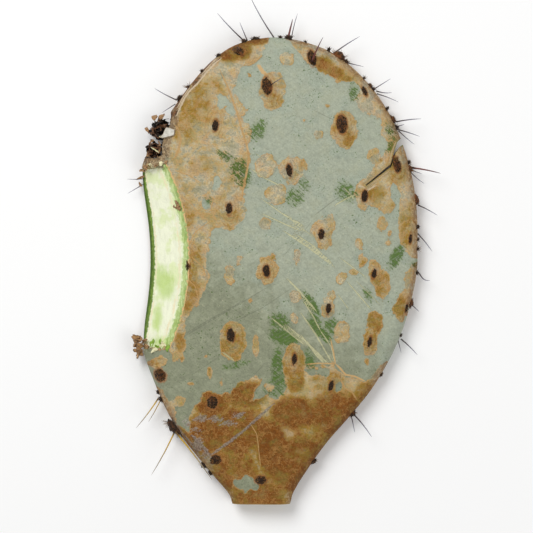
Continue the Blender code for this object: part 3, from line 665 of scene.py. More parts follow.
# ---------------------------------------------------------------- the pad's mesh
class PadMesh:
    """Front sheet, edge wall and back sheet of the pad as one closed mesh."""

    WALL_ROWS = 8
    LENGTHWAYS = 1.66       # cells along the pad for each cell across it

    def __init__(self, form, cells_across):
        self.form = form
        self.cells_x = cells_across - cells_across % 4
        self.cells_y = int(self.cells_x * self.LENGTHWAYS) // 4 * 4
        self.front = plan_places(form, self.cells_x, self.cells_y)
        self.back = plan_places(form, self.cells_x // 2, self.cells_y // 2)
        self.border = grid_border(self.cells_x, self.cells_y)
        self.back_border = grid_border(self.cells_x // 2, self.cells_y // 2)
        self.places = None
        self.faces = None

    def front_surface(self, relief, rise):
        """Heights of the front sheet, with its cushions, cork and knife cut."""
        places = self.front
        depth = self.form.depth(places)
        whole = front_height(depth)
        inner = smooth(depth, 0.0, 6.0)
        # a slow swell, then the cushions
        whole = whole + inner * (0.42 * ripple(places, 26.0, 1) + 0.10 * ripple(places, 7.0, 2))
        for row in FACE_AREOLES[:-1]:
            away = -depth_in_oval(places, *felt_oval(row))
            mound = np.exp(-np.maximum(away, -1.2) ** 2 / 9.0)
            size = 0.75 + 0.06 * row[3]
            dimple = smooth(away, 0.5, -0.9)
            whole = whole + (mound * size * rise - dimple * 0.5) * smooth(depth, 0.5, 3.5)
        # the cork and its edge, then the raised lines
        cork = cork_depth(places)
        on_cork = smooth(cork, -0.5, 0.7)
        lip = np.exp(-((cork - 0.45) / 0.5) ** 2)
        grain = 0.35 * ripple(places, 1.6, 3) + 0.3 * ripple(places, 2.8, 4)
        whole = whole + relief * inner * (on_cork * (0.75 + 0.45 * grain) + 0.45 * lip)
        ridges = (("peel", 0.6, 0.7), ("tan", 0.30, 0.6), ("scar", 0.5, 1.1), ("lip", 0.5, 0.6))
        uneven = 0.8 + 0.3 * ripple(places, 2.4, 9)
        for name, ridge_rise, spread in ridges:
            nearest = beside_lines(places, MARKS[name])[1]
            whole = whole + ridge_rise * np.exp(-(nearest / spread) ** 2) * uneven
        # the knife cut, inside its ragged window
        knife = cut_height(places)
        ragged = 0.8 * ripple(places, 2.6, 11) + 0.5 * ripple(places, 1.2, 12)
        inside = depth_inside(places, CUT_WINDOW)
        window = smooth(inside + ragged, -0.3, 0.9)
        fibres = ripple(places * (1.0, 0.16), 0.9, 13) * 0.10 + ripple(places, 5.0, 14) * 0.16
        window_edge = np.exp(-(inside / 3.0) ** 2)
        knife = knife + fibres + window_edge * 0.45 * ripple(places, 1.5, 15)
        return whole * (1.0 - window) + np.minimum(whole, knife) * window

    def wall(self, top, bottom):
        """Rows of places down the edge, torn where the wound opened it."""
        border = self.front[self.border]
        raw = smooth(depth_inside(border, WOUND), -1.2, 0.2)
        outward = border / np.hypot(*border.T)[:, None]
        rows = []
        for row in range(1, self.WALL_ROWS):
            share = row / self.WALL_ROWS
            height = top * (1.0 - share) + bottom * share
            wobble = ripple(np.column_stack([border.sum(axis=1), height * 1.3]), 2.0, 31)
            wobble = wobble + 0.6 * ripple(np.column_stack([border[:, 1] * 1.7, height * 2.0]), 1.0, 32)
            bulge = math.sin(math.pi * share)
            push = raw * wobble * 0.8 * bulge + (1.0 - raw) * 0.10 * bulge
            rows.append(np.column_stack([border + outward * push[:, None], height]))
        return rows

    def build(self, settings):
        heights = self.front_surface(settings.cork_relief / MM, settings.cushion_rise / MM)
        back_depth = self.form.depth(self.back)
        back = back_height(back_depth)
        lifted = smooth(back, 0.3, 3.0)
        back = back + lifted * 0.25 * ripple(self.back, 9.0, 17)
        for x, y in back_areoles():
            away = np.hypot(self.back[:, 0] - x, self.back[:, 1] - y)
            back = back + 0.45 * smooth(away, 2.6, 0.6)
        back = np.maximum(back, 0.0)
        top = heights[self.border]
        coarse = back[self.back_border]
        steps = np.arange(len(self.border)) / 2.0
        bottom = np.interp(steps, np.arange(len(coarse) + 1), np.append(coarse, coarse[0]))
        top = np.maximum(top, bottom + self.form.LIP)
        heights[self.border] = top
        rows = self.wall(top, bottom)
        front = np.column_stack([self.front, heights])
        under = np.column_stack([self.back, back])
        self.places = np.vstack([front, *rows, under])
        self.faces = self.join(len(front), len(rows))

    def join(self, front_count, row_count):
        """Faces of the sheets and of the wall between them, where two cells meet one below."""
        faces = grid_quads(self.cells_x, self.cells_y).tolist()
        count = len(self.border)
        loops = [self.border]
        for row in range(row_count):
            loops.append(front_count + row * count + np.arange(count))
        for upper, lower in zip(loops, loops[1:]):
            for index in range(count):
                after = (index + 1) % count
                faces.append([int(upper[index]), int(lower[index]), int(lower[after]), int(upper[after])])
        start = front_count + row_count * count
        last = loops[-1]
        low = start + self.back_border
        for index in range(len(low)):
            after = (index + 1) % len(low)
            left, middle, right = (int(last[(2 * index + k) % count]) for k in (0, 1, 2))
            faces.append([left, int(low[index]), middle])
            faces.append([middle, int(low[index]), int(low[after])])
            faces.append([middle, int(low[after]), right])
        under = grid_quads(self.cells_x // 2, self.cells_y // 2) + start
        faces.extend(under[:, ::-1].tolist())
        return faces


def mesh_piece(name, places, faces, material=None):
    """A new object from places in metres."""
    mesh = bpy.data.meshes.new(name)
    mesh.from_pydata([tuple(place) for place in places], [], faces)
    mesh.validate()
    mesh.update()
    if material is not None:
        mesh.materials.append(material)
    piece = bpy.data.objects.new(name, mesh)
    bpy.context.scene.collection.objects.link(piece)
    mesh.shade_smooth()
    return piece


def settle(piece, node=None):
    """Says which body the piece rides and which node it replaces."""
    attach(piece, BODY)
    if node:
        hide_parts(node)


def store(mesh, name, values):
    """Keeps one number for each point of a mesh, for its material to read."""
    layer = mesh.attributes.new(name, "FLOAT", "POINT")
    layer.data.foreach_set("value", np.asarray(values, np.float32))


def fix_order(mesh):
    """Puts the faces of a mesh in one order, because a cut leaves its newest ones in any order."""
    places = [tuple(vertex.co) for vertex in mesh.vertices]
    faces = sorted(tuple(face.vertices) for face in mesh.polygons)
    mesh.clear_geometry()
    mesh.from_pydata(places, [], faces)


def cut_slit(piece):
    """Cuts the narrow slit in from the right rim, through the whole thickness."""
    bm = bmesh.new()
    lower = [bm.verts.new((x * MM, y * MM, BLADE_BOTTOM * MM)) for x, y in SLIT]
    face = bm.faces.new(lower)
    out = bmesh.ops.extrude_face_region(bm, geom=[face])
    upper = [item for item in out["geom"] if isinstance(item, bmesh.types.BMVert)]
    bmesh.ops.translate(bm, vec=(0.0, 0.0, BLADE_HEIGHT * MM), verts=upper)
    bmesh.ops.recalc_face_normals(bm, faces=bm.faces)
    mesh = bpy.data.meshes.new("slit_blade")
    bm.to_mesh(mesh)
    bm.free()
    blade = bpy.data.objects.new("slit_blade", mesh)
    bpy.context.scene.collection.objects.link(blade)
    step = piece.modifiers.new("slit", "BOOLEAN")
    step.operation = "DIFFERENCE"
    step.solver = "EXACT"
    step.object = blade
    graph = bpy.context.evaluated_depsgraph_get()
    result = bpy.data.meshes.new_from_object(piece.evaluated_get(graph))
    fix_order(result)
    piece.modifiers.remove(step)
    old = piece.data
    piece.data = result
    bpy.data.meshes.remove(old)
    bpy.data.objects.remove(blade)
    bpy.data.meshes.remove(mesh)


def mark_skin(piece, form):
    """Stores what grows at each point of the pad."""
    mesh = piece.data
    count = len(mesh.vertices)
    coordinates, normals = np.empty(count * 3), np.empty(count * 3)
    mesh.vertices.foreach_get("co", coordinates)
    mesh.vertex_normals.foreach_get("vector", normals)
    places, height = coordinates.reshape(-1, 3)[:, :2] / MM, coordinates[2::3] / MM
    upward = normals[2::3]
    depth = form.depth(places)
    back = (height < RIM_HEIGHT) & (upward < 0.0)

    knife = cut_height(places)
    sunk = front_height(depth) - knife
    window = depth_inside(places, CUT_WINDOW)
    on_cut = (np.abs(height - knife) < 1.1) & (window > -1.0) & ~back & (upward > 0.1)
    wound = depth_inside(places, WOUND)
    slit = depth_inside(places, SLIT)
    pressed = [(x, y, 3.6, 5.4, 0.0) for x, y in back_areoles()]
    marks = {
        "fresh": np.where(on_cut, np.minimum(sunk, window + 0.8), -3.0),
        "from_front": np.where(on_cut, sunk * CUT_SPREAD / 1.18, -3.0),
        "from_back": np.where(on_cut, (knife - back_height(depth)) * CUT_SPREAD, 30.0),
        "cork": np.where(back, cork_depth(places, back=True), cork_depth(places)),
        "brown": np.where(back, brownness(places, back=True), brownness(places)),
        "felt": np.where(back, nearest_felt(places, pressed), nearest_felt(places, FACE_AREOLES)),
        "rubbed": np.where(back, 0.0, rubbed_weight(places)),
        "smear": deepest(places, SMEARS, -FAR),
        # sunlit: the slope along which painted shade darkens the skin towards the lower left
        "sunlit": places[:, 1] + 0.6 * places[:, 0],
        "grey": np.where(back, -9.0, deepest(places, GREY_FLAKES, -9.0)),
        "raw": smooth(wound, -1.4, -0.1) * smooth(np.abs(upward), 0.95, 0.6),
        "dry": np.where(back, 0.0, smooth(wound, -9.0, -1.0)),
        "stem": smooth(places[:, 1], STEM_CUT_Y + 0.5, STEM_CUT_Y + 0.1),
        "slit": smooth(np.abs(slit), 0.06, 0.02) * smooth(np.abs(upward), 0.75, 0.4),
        "slit_near": smooth(slit, -3.4, -0.2) * smooth(places[:, 0], 71.0, 68.0),
        "rim": smooth(depth, 5.5, 0.5),
    }
    for name, lines in MARKS.items():
        signed, nearest, width = beside_lines(places, lines)
        marks[name] = signed
        marks[name + "_near"] = np.where(back, 30.0, nearest)
        marks[name + "_width"] = width
    for name, values in marks.items():
        store(mesh, name, values)


# ---------------------------------------------------------------- shader maths
class Wire:
    """A number or colour on its way through a material. Arithmetic on it adds Math nodes."""

    def __init__(self, paint, socket):
        self.paint = paint
        self.socket = socket

    def maths(self, operation, *values):
        """Adds a Math node for the operation on the values."""
        return self.paint.node("ShaderNodeMath", {"operation": operation}, dict(enumerate(values)))

    def __add__(self, other):
        return self.maths("ADD", self, other)

    def __sub__(self, other):
        return self.maths("SUBTRACT", self, other)

    def __rsub__(self, other):
        return self.maths("SUBTRACT", other, self)

    def __mul__(self, other):
        return self.maths("MULTIPLY", self, other)

    __radd__ = __add__
    __rmul__ = __mul__

    def __abs__(self):
        return self.maths("ABSOLUTE", self)

    def wave(self):
        """Its sine."""
        return self.maths("SINE", self)

    def above(self, other):
        """The greater of the two."""
        return self.maths("MAXIMUM", self, other)

    def step(self, low, high):
        """A smooth step from 0 at low to 1 at high; low may be above high."""
        settings = {"interpolation_type": "SMOOTHSTEP"}
        if low < high:
            return self.paint.node("ShaderNodeMapRange", settings, {0: self, 1: low, 2: high})
        return 1.0 - self.paint.node("ShaderNodeMapRange", settings, {0: self, 1: high, 2: low})


class Paint:
    """One material and the nodes that feed its Principled shader."""

    def __init__(self, name):
        self.material = bpy.data.materials.new(name)
        self.material.use_nodes = True
        self.tree = self.material.node_tree
        self.shader = self.tree.nodes["Principled BSDF"]

    def node(self, kind, settings=None, inputs=None, output=0):
        """Adds a node, sets it up, feeds its sockets and returns one of its outputs."""
        made = self.tree.nodes.new(kind)
        for key, value in (settings or {}).items():
            setattr(made, key, value)
        for key, value in (inputs or {}).items():
            self.feed(made.inputs[key], value)
        return Wire(self, made.outputs[output])

    def feed(self, socket, value):
        """Links a wire to a socket, or sets the socket to a colour or a number."""
        if isinstance(value, Wire):
            self.tree.links.new(value.socket, socket)
        elif hasattr(value, "__len__"):
            numbers = tuple(value)
            socket.default_value = numbers + (1.0,) * (len(socket.default_value) - len(numbers))
        else:
            socket.default_value = value

    def stored(self, name):
        """A number kept with each point of the mesh."""
        return self.node("ShaderNodeAttribute", {"attribute_name": name}, output="Fac")

    def place(self, stretch=(1000.0, 1000.0, 1000.0), turn=0.0):
        """The place on the object, in mm or stretched, after a turn in degrees about Z."""
        spot = self.node("ShaderNodeTexCoord", output="Object")
        if turn:
            values = {"Vector": spot, "Angle": math.radians(turn)}
            spot = self.node("ShaderNodeVectorRotate", {"rotation_type": "Z_AXIS"}, values)
        return self.node("ShaderNodeVectorMath", {"operation": "MULTIPLY"}, {0: spot, 1: stretch})

    def noise(self, place, scale, detail=3.0, roughness=0.55):
        values = {"Vector": place, "Scale": scale, "Detail": detail, "Roughness": roughness}
        return self.node("ShaderNodeTexNoise", {}, values, output="Fac")

    def cells(self, place, scale):
        return self.node("ShaderNodeTexVoronoi", {}, {"Vector": place, "Scale": scale}, output="Distance")

    def mix(self, share, first, second, blend="MIX"):
        settings = {"data_type": "RGBA", "blend_type": blend}
        return self.node("ShaderNodeMix", settings, {0: share, 6: first, 7: second}, output=2)

    def shade(self, colour, factor):
        """A colour made lighter or darker."""
        return self.node("ShaderNodeVectorMath", {"operation": "SCALE"}, {0: colour, "Scale": factor})

    def bump(self, height, distance, strength=1.0):
        return self.node("ShaderNodeBump", {}, {"Height": height, "Distance": distance, "Strength": strength})

    def finish(self, **sockets):
        """Feeds the shader's sockets and returns the material."""
        names = {
            "colour": "Base Color", "roughness": "Roughness", "coat": "Coat Weight", "normal": "Normal",
            "sheen": "Sheen Weight", "specular": "Specular IOR Level", "coat_roughness": "Coat Roughness",
        }
        for key, value in sockets.items():
            self.feed(self.shader.inputs[names[key]], value)
        return self.material


def scaled(colour, share):
    """A setting's colour made lighter or darker."""
    return tuple(channel * share for channel in colour)


def swayed(value, noises, *weights):
    """A value with some of each noise added, each noise to its own weight."""
    for noise, weight in zip(noises, weights):
        value = value + (noise - 0.5) * weight
    return value


def paint_line(paint, name, noise, fray=3.4):
    """Weight of a family of stored lines, frayed by a noise."""
    width = paint.stored(name + "_width") * (1.1 + (noise - 0.5) * fray)
    inside = (width - abs(paint.stored(name))).step(-0.14, 0.14)
    return inside * paint.stored(name + "_near").step(1.5, 0.9)


def paint_cork(paint, settings, depth, brown, noises):
    """Cork from faint tan to rust brown, with veins, rings and a raised edge."""
    middle, mottle, fine, _ = noises
    tone = paint.mix(brown.step(0.00, 0.30), settings.cork_faint, settings.cork_pale)
    tone = paint.mix(brown.step(0.30, 0.62), tone, settings.cork_ochre)
    tone = paint.mix(brown.step(0.62, 1.00), tone, settings.cork_brown)
    olive = paint.noise(paint.place(), 0.11, 3.0, 0.6)
    tone = paint.mix(olive.step(0.48, 0.64) * 0.50 * brown.step(1.4, 0.6), tone, settings.cork_olive)
    tone = paint.mix(olive.step(0.50, 0.36) * 0.45 * brown.step(1.2, 0.2), tone, settings.cork_pink)
    rim = paint.stored("rim").step(0.1, 0.9)
    tone = paint.mix(rim * 0.5 * brown.step(0.7, 0.2), tone, settings.cork_pink)
    tone = paint.shade(tone, swayed(1.0, noises, 0.7, 1.0, 1.1, 0.25))
    vein_tone = paint.mix(brown.step(0.35, 0.85), settings.cork_line, display(182, 134, 72))
    veined = middle.step(0.36, 0.52) * (brown.step(0.02, 0.30) * 0.8 + 0.2)
    for size, width, weight in ((0.055, 0.012, 0.75), (0.13, 0.022, 0.65), (0.30, 0.030, 0.40)):
        vein = abs(paint.noise(paint.place(), size, 5.0, 0.62) - 0.5).step(width, width * 0.3)
        tone = paint.mix(vein * veined * weight, tone, vein_tone)
    felt = paint.stored("felt")
    rings = (felt * 2.3 + (middle - 0.5) * 9.0).wave().step(0.62, 0.98) * felt.step(9.5, 6.0)
    worn = brown.step(0.05, 0.45) * 0.75 + 0.25
    tone = paint.mix(rings * worn * 0.34, tone, scaled(settings.cork_brown, 1.3))
    contour = (depth * 3.4 + (middle - 0.5) * 12.0).wave().step(0.55, 0.98) * depth.step(7.0, 3.0)
    tone = paint.mix(contour * mottle.step(0.40, 0.58) * 0.38, tone, vein_tone)
    edge = abs(depth - 0.45).step(0.60, 0.15) * middle.step(0.38, 0.52)
    tone = paint.mix(edge * 0.62, tone, settings.cork_line)
    pits = fine.step(0.40, 0.32) * mottle.step(0.54, 0.42)
    return paint.mix(pits * worn * 0.62, tone, scaled(settings.cork_brown, 0.55))


def paint_flesh(paint, settings, noises):
    """Wet flesh of the knife cut, from the dark green back edge to the pale green front edge."""
    middle, mottle, fine, grit = noises
    fibre = paint.noise(paint.place((520.0, 110.0, 520.0)), 1.0, 5.0, 0.72)
    wet = paint.noise(paint.place(), 0.085, 3.0, 0.6)
    flesh = paint.mix(fibre.step(0.36, 0.56), scaled(settings.flesh, 0.93), settings.flesh)
    flesh = paint.mix(wet.step(0.47, 0.62) * 0.60, flesh, display(220, 236, 162))
    flesh = paint.mix(grit.step(0.58, 0.72) * 0.16, flesh, display(150, 178, 104))
    # Painted glints: whiter flecks on the wet flesh.
    flesh = paint.mix(fine.step(0.58, 0.72) * 0.40, flesh, display(254, 253, 236))
    smear = (paint.stored("smear") + (middle - 0.5) * 9.0 + (fibre - 0.5) * 9.0).step(-2.5, 4.5)
    flesh = paint.mix(smear * 0.75, flesh, display(188, 216, 116))
    front = paint.stored("from_front") + (mottle - 0.5) * 3.4 + (fine - 0.5) * 1.6
    back = paint.stored("from_back") + (mottle - 0.5) * 3.2 + (fine - 0.5) * 1.6
    cream = display(243, 232, 190)
    torn = fibre.step(0.38, 0.56) * 0.85
    flesh = paint.mix(abs(back - 4.6).step(0.9, 0.2) * torn, flesh, cream)
    flesh = paint.mix(abs(front - 4.4).step(0.9, 0.2) * torn, flesh, cream)
    pale_green = paint.mix(fibre.step(0.40, 0.62), display(146, 178, 76), display(204, 222, 148))
    flesh = paint.mix(front.step(3.7, 2.4) * 0.85, flesh, pale_green)
    flesh = paint.mix(front.step(1.5, 0.9) * 0.40, flesh, display(106, 134, 44))
    layer = paint.mix(fibre.step(0.40, 0.60), scaled(settings.flesh_green, 0.7), settings.flesh_green)
    flesh = paint.mix(back.step(4.2, 3.2), flesh, layer)
    flesh = paint.mix(back.step(2.3, 1.5), flesh, settings.flesh_dark)
    return paint.mix(front.step(0.75, 0.35), flesh, display(226, 186, 128)), fibre


def paint_skin(settings):
    """Waxy skin with cork, rubbed patches and scratches, and wet flesh on the knife cut."""
    paint = Paint("pad_skin")
    place = paint.place()
    middle = paint.noise(place, 0.16, 4.0, 0.6)
    mottle = paint.noise(place, 0.45, 4.0, 0.65)
    fine = paint.noise(place, 1.05, 4.0, 0.65)
    grit = paint.noise(place, 3.2, 3.0, 0.6)
    noises = (middle, mottle, fine, grit)
    drag = paint.noise(paint.place((130.0, 1100.0, 500.0), 40.0), 1.0, 4.0, 0.7)
    # Diagonal streaks in the wax: they break up the rubbed patches and the silver flakes, and in the skin's
    # tone they are partly painted sheen.
    streaks_and_sheen = paint.noise(paint.place((90.0, 700.0, 400.0), -28.0), 1.0, 4.0, 0.7)

    # Painted shade: the skin goes from bloom to the darker base skin towards the lower left, partly the
    # skin's own colour and partly painted shade. The cooler wax goes only on the lighter side.
    shade = (paint.stored("sunlit") + (middle - 0.5) * 60.0).step(12.0, -44.0)
    skin = paint.mix(shade, settings.bloom, settings.skin)
    skin = paint.mix(middle.step(0.46, 0.66) * 0.45, skin, settings.skin_warm)
    patchy = paint.noise(place, 0.07, 4.0, 0.65)
    skin = paint.mix(patchy.step(0.46, 0.62) * shade.step(1.0, 0.3) * 0.40, skin, settings.skin_cool)
    # The diagonal streaks' lighter and darker bands in the skin's tone are partly brushed wax and partly
    # painted sheen.
    skin = paint.shade(skin, swayed(
        1.0, (middle, mottle, fine, drag, streaks_and_sheen, grit), 0.35, 0.45, 0.75, 0.35, 0.30, 0.25))
    for spacing, share in ((0.42, 0.50), (0.80, 0.47)):
        dots = paint.cells(place, spacing).step(0.27, 0.15) * patchy.step(share, share + 0.06)
        skin = paint.mix(dots * mottle.step(0.44, 0.56) * 0.85, skin, scaled(settings.rubbed, 0.75))
    flecks = paint.cells(place, 0.55).step(0.17, 0.10) * drag.step(0.53, 0.58)
    skin = paint.mix(flecks * 0.5, skin, settings.cork_faint)
    skin = paint.mix(paint_line(paint, "hairline", mottle) * 0.42, skin, scaled(settings.skin, 0.45))

    rubbed = paint.stored("rubbed")
    grain = (drag - 0.5) * 2.6 + (fine - 0.5) * 2.4 + (mottle - 0.5) * 2.0
    rub = (rubbed + grain).step(0.50, 0.58) * rubbed.step(0.03, 0.2)
    rub_tone = paint.mix((rubbed + grain * 0.6).step(0.40, 0.80), settings.rubbed_thin, settings.rubbed)
    rub_tone = paint.shade(rub_tone, 1.0 + (fine - 0.5) * 1.2 + (mottle - 0.5) * 0.6)
    rub = rub * (1.0 - streaks_and_sheen.step(0.53, 0.62) * 0.38)

    depth = swayed(paint.stored("cork"), noises, 3.4, 2.8, 1.3)
    cork = depth.step(-0.30, 0.30)
    brown = swayed(paint.stored("brown"), noises, 1.5, 0.9, 0.3)
    aged = paint_cork(paint, settings, depth, brown, noises)
    # Painted shadow: a faint line of the darker base skin just outside each raised cork edge.
    skin = paint.mix(abs(depth + 0.60).step(0.60, 0.10) * mottle.step(0.45, 0.60) * 0.30, skin, settings.skin)
    colour = paint.mix(cork * brown.step(-0.30, 0.16).above(0.62), skin, aged)
    tinge = rubbed.step(0.12, 0.5) * (1.0 - cork)
    colour = paint.mix(tinge * 0.35, colour, display(128, 146, 100))
    colour = paint.mix(rub * 0.93, colour, rub_tone)

    folds = abs(paint.noise(place, 0.32, 3.0, 0.6) - 0.5)
    dried = paint.mix(mottle.step(0.40, 0.56), display(98, 78, 60), display(158, 132, 100))
    dried = paint.mix(folds.step(0.035, 0.01) * 0.8, dried, display(214, 192, 156))
    colour = paint.mix((paint.stored("dry") + (mottle - 0.5) * 1.6).step(0.45, 0.7) * 0.85, colour, dried)
    scratch = paint_line(paint, "scratch", middle * 0.5 + mottle * 0.5)
    scratch_tone = paint.shade(settings.scratch, 1.0 + (fine - 0.5) * 0.5)
    colour = paint.mix(scratch * (0.45 + fine * 0.5), colour, scratch_tone)
    colour = paint.mix(paint_line(paint, "tan", mottle, 1.6) * 0.80, colour, settings.cork_line)
    silver = (paint.stored("grey") + (streaks_and_sheen - 0.5) * 16.0 + (fine - 0.5) * 11.0).step(1.2, 1.9)
    silver = silver.above(paint_line(paint, "scar", mottle))
    silver_tone = paint.mix(fine.step(0.40, 0.60), scaled(settings.dry_grey, 0.42), settings.dry_grey)
    colour = paint.mix(silver * 0.72, colour, silver_tone)
    rim = paint.stored("rim") * cork
    colour = paint.mix(rim * mottle.step(0.40, 0.56) * 0.62, colour, scaled(settings.cork_brown, 0.66))
    bark = paint.stored("peel").step(0.2, -0.5) * paint.stored("peel_near").step(7.0, 5.0)
    bark_tone = paint.mix(mottle.step(0.42, 0.58), display(58, 40, 30), display(142, 98, 62))
    colour = paint.mix(bark * (mottle + fine).step(0.75, 0.95) * 0.9, colour, bark_tone)
    for name in ("peel", "lip"):
        colour = paint.mix(paint_line(paint, name, fine, 2.0) * 0.85, colour, display(228, 208, 176))

    felt = paint.stored("felt") + (mottle - 0.5) * 2.4 + (fine - 0.5) * 1.2
    collar = felt.step(1.7, 0.3) * middle.step(0.34, 0.52)
    colour = paint.mix(collar * 0.80, colour, paint.shade(settings.collar, 0.7 + fine * 0.6))
    colour = paint.mix(felt.step(0.35, -0.15), colour, scaled(settings.felt_dark, 1.4))
    colour = paint.mix(paint.stored("slit_near") * 0.6, colour, settings.cork_ochre)
    slit_tone = paint.mix(fine, scaled(settings.flesh_dark, 0.7), settings.flesh_green)
    colour = paint.mix(paint.stored("slit"), colour, slit_tone)
    raw_tone = paint.mix(fine.step(0.4, 0.7), (0.012, 0.010, 0.009), display(120, 86, 60))
    colour = paint.mix(paint.stored("raw"), colour, raw_tone)
    stem_tone = paint.mix(fine, scaled(settings.cork_ochre, 0.8), scaled(settings.cork_pale, 1.1))
    colour = paint.mix(paint.stored("stem"), colour, stem_tone)

    fresh = (paint.stored("fresh") + (fine - 0.5) * 0.8).step(-0.06, 0.16)
    flesh, fibre = paint_flesh(paint, settings, noises)
    colour = paint.mix(fresh, colour, flesh)
    dull = 0.54 + cork * 0.20 + (fine - 0.5) * 0.30
    roughness = dull * (1.0 - fresh) + fresh * (0.28 + fibre * 0.25)
    crumbs = (middle - 0.5) * 2.0 + (mottle - 0.5) * 2.2 + (fine - 0.5) * 1.6 + (grit - 0.5) * 0.6 + 0.12
    ground = fine * 0.6 + drag * 0.4 + grit * 0.12 + cork * crumbs
    height = ground * (1.0 - fresh) + fresh * (fibre * 1.5 + fine * 0.6) - rub * 0.4 - scratch * 0.4
    normal = paint.bump(height, 0.00055, 1.0)
    return paint.finish(colour=colour, roughness=roughness, coat=fresh * 0.35, coat_roughness=0.22,
                        normal=normal, specular=0.26)


def paint_felt(settings):
    """Matted wool, black in the middle and rust-brown where it is young or thin."""
    paint = Paint("areole_felt")
    place = paint.place()
    wool = paint.noise(place, 0.9, 5.0, 0.75)
    hair = paint.noise(paint.place((2600.0, 1200.0, 2600.0)), 1.0, 4.0, 0.7)
    outer = paint.stored("out").step(0.45, 1.0) * 0.6
    young = (paint.stored("young") + outer + (wool - 0.5) * 1.6).step(0.25, 0.95)
    colour = paint.mix(young, settings.felt_dark, settings.felt_red)
    colour = paint.mix(hair.step(0.54, 0.68) * 0.5, colour, scaled(settings.felt_red, 1.6))
    colour = paint.mix(wool.step(0.48, 0.34) * 0.75, colour, scaled(settings.felt_dark, 0.30))
    normal = paint.bump(wool + hair * 0.6, 0.0005, 0.9)
    return paint.finish(colour=colour, roughness=0.95, normal=normal, specular=0.2, sheen=0.15)


def paint_bristle(settings):
    """Glochids: gold to dark brown, each with its own shade."""
    paint = Paint("glochid_bristles")
    shade = paint.stored("shade")
    colour = paint.mix(shade.step(0.30, 0.95), scaled(settings.felt_dark, 0.9), display(176, 128, 66))
    grain = paint.noise(paint.place(), 3.0, 2.0)
    colour = paint.mix(grain * 0.4, colour, scaled(settings.felt_dark, 0.6))
    return paint.finish(colour=colour, roughness=0.55 + grain * 0.2, specular=0.4)


def paint_spine(name, base, tip, collar, turning):
    """A woody spine: dark collar, coloured shaft, grey weathered end, with fine rings and grain."""
    paint = Paint(name)
    along = paint.stored("along")
    grain = paint.noise(paint.place((1500.0, 1500.0, 1500.0)), 1.0, 4.0, 0.7)
    rings = (along * 60.0 + grain * 3.0).wave()
    colour = paint.mix((along + (grain - 0.5) * 0.2).step(*turning), base, tip)
    colour = paint.mix(rings.step(0.3, 1.0) * 0.18, colour, scaled(base, 0.5))
    colour = paint.mix((along + (grain - 0.5) * 0.1).step(0.16, 0.04), colour, collar)
    normal = paint.bump(grain + rings * 0.2, 0.00005, 0.6)
    return paint.finish(colour=colour, roughness=0.42 + grain * 0.25, normal=normal, specular=0.45)


def paint_crust(settings):
    """Charred-looking dried tissue with brown torn rims."""
    paint = Paint("black_crust")
    place = paint.place()
    coarse = paint.noise(place, 0.45, 4.0, 0.65)
    fine = paint.noise(place, 2.2, 4.0, 0.7)
    rim = (paint.stored("rim") + (coarse - 0.5) * 1.8).step(0.42, 0.80)
    colour = paint.mix(fine.step(0.35, 0.7), scaled(settings.crust, 0.35), settings.crust)
    brown = paint.mix(fine, scaled(settings.crust_rim, 0.6), scaled(settings.crust_rim, 1.25))
    brown = paint.mix(coarse.step(0.5, 0.7) * 0.6, brown, display(172, 158, 138))
    colour = paint.mix(rim, colour, brown)
    normal = paint.bump(coarse * 1.5 + fine, 0.0006, 0.9)
    return paint.finish(colour=colour, roughness=0.82, normal=normal, specular=0.3)


def paint_paper(settings):
    """Thin dead skin, white with faint fibres and grey patches."""
    paint = Paint("papery_skin")
    place = paint.place()
    fibre = paint.noise(paint.place((500.0, 1700.0, 900.0)), 1.0, 4.0, 0.65)
    grey_patches = paint.noise(place, 0.5, 4.0, 0.6)
    colour = paint.mix(fibre.step(0.35, 0.7), scaled(settings.paper, 0.80), settings.paper)
    colour = paint.mix(grey_patches.step(0.55, 0.75) * 0.5, colour, display(168, 158, 140))
    rim = (paint.stored("rim") + (fibre - 0.5) * 0.5).step(0.55, 0.95)
    colour = paint.mix(rim * 0.6, colour, display(150, 120, 86))
    normal = paint.bump(fibre + grey_patches, 0.00025, 0.7)
    return paint.finish(colour=colour, roughness=0.7, normal=normal, specular=0.35)


def paint_scale(settings):
    """A curled scale of dried skin, orange-brown with grey and cream layers."""
    paint = Paint("brown_scale")
    place = paint.place()
    layer = paint.noise(paint.place((380.0, 900.0, 900.0)), 1.0, 5.0, 0.7)
    fine = paint.noise(place, 1.8, 4.0, 0.7)
    colour = paint.mix(layer.step(0.35, 0.65), scaled(settings.scale, 0.55), settings.scale)
    colour = paint.mix(fine.step(0.50, 0.66) * 0.7, colour, display(228, 200, 152))
    rim = (paint.stored("rim") + (fine - 0.5)).step(0.5, 1.0)
    colour = paint.mix(rim * 0.6, colour, display(112, 92, 84))
    normal = paint.bump(layer + fine, 0.0004, 0.9)
    return paint.finish(colour=colour, roughness=0.75, normal=normal, specular=0.3)


def paint_shred(settings):
    """Torn skin and flesh at the ends of the cut: green, cream and brown by turns."""
    paint = Paint("torn_shreds")
    tone = paint.stored("tone")
    fine = paint.noise(paint.place(), 1.5, 4.0, 0.65)
    colour = paint.mix((tone + (fine - 0.5) * 0.3).step(0.30, 0.42), settings.shred, display(232, 226, 184))
    bark = paint.mix(fine.step(0.42, 0.58), display(110, 78, 52), display(186, 146, 100))
    colour = paint.mix((tone + (fine - 0.5) * 0.2).step(0.62, 0.74), colour, bark)
    colour = paint.mix(fine.step(0.56, 0.76) * 0.5, colour, display(96, 118, 30))
    normal = paint.bump(fine, 0.0003, 0.8)
    return paint.finish(colour=colour, roughness=0.45 + fine * 0.2, normal=normal, specular=0.4)


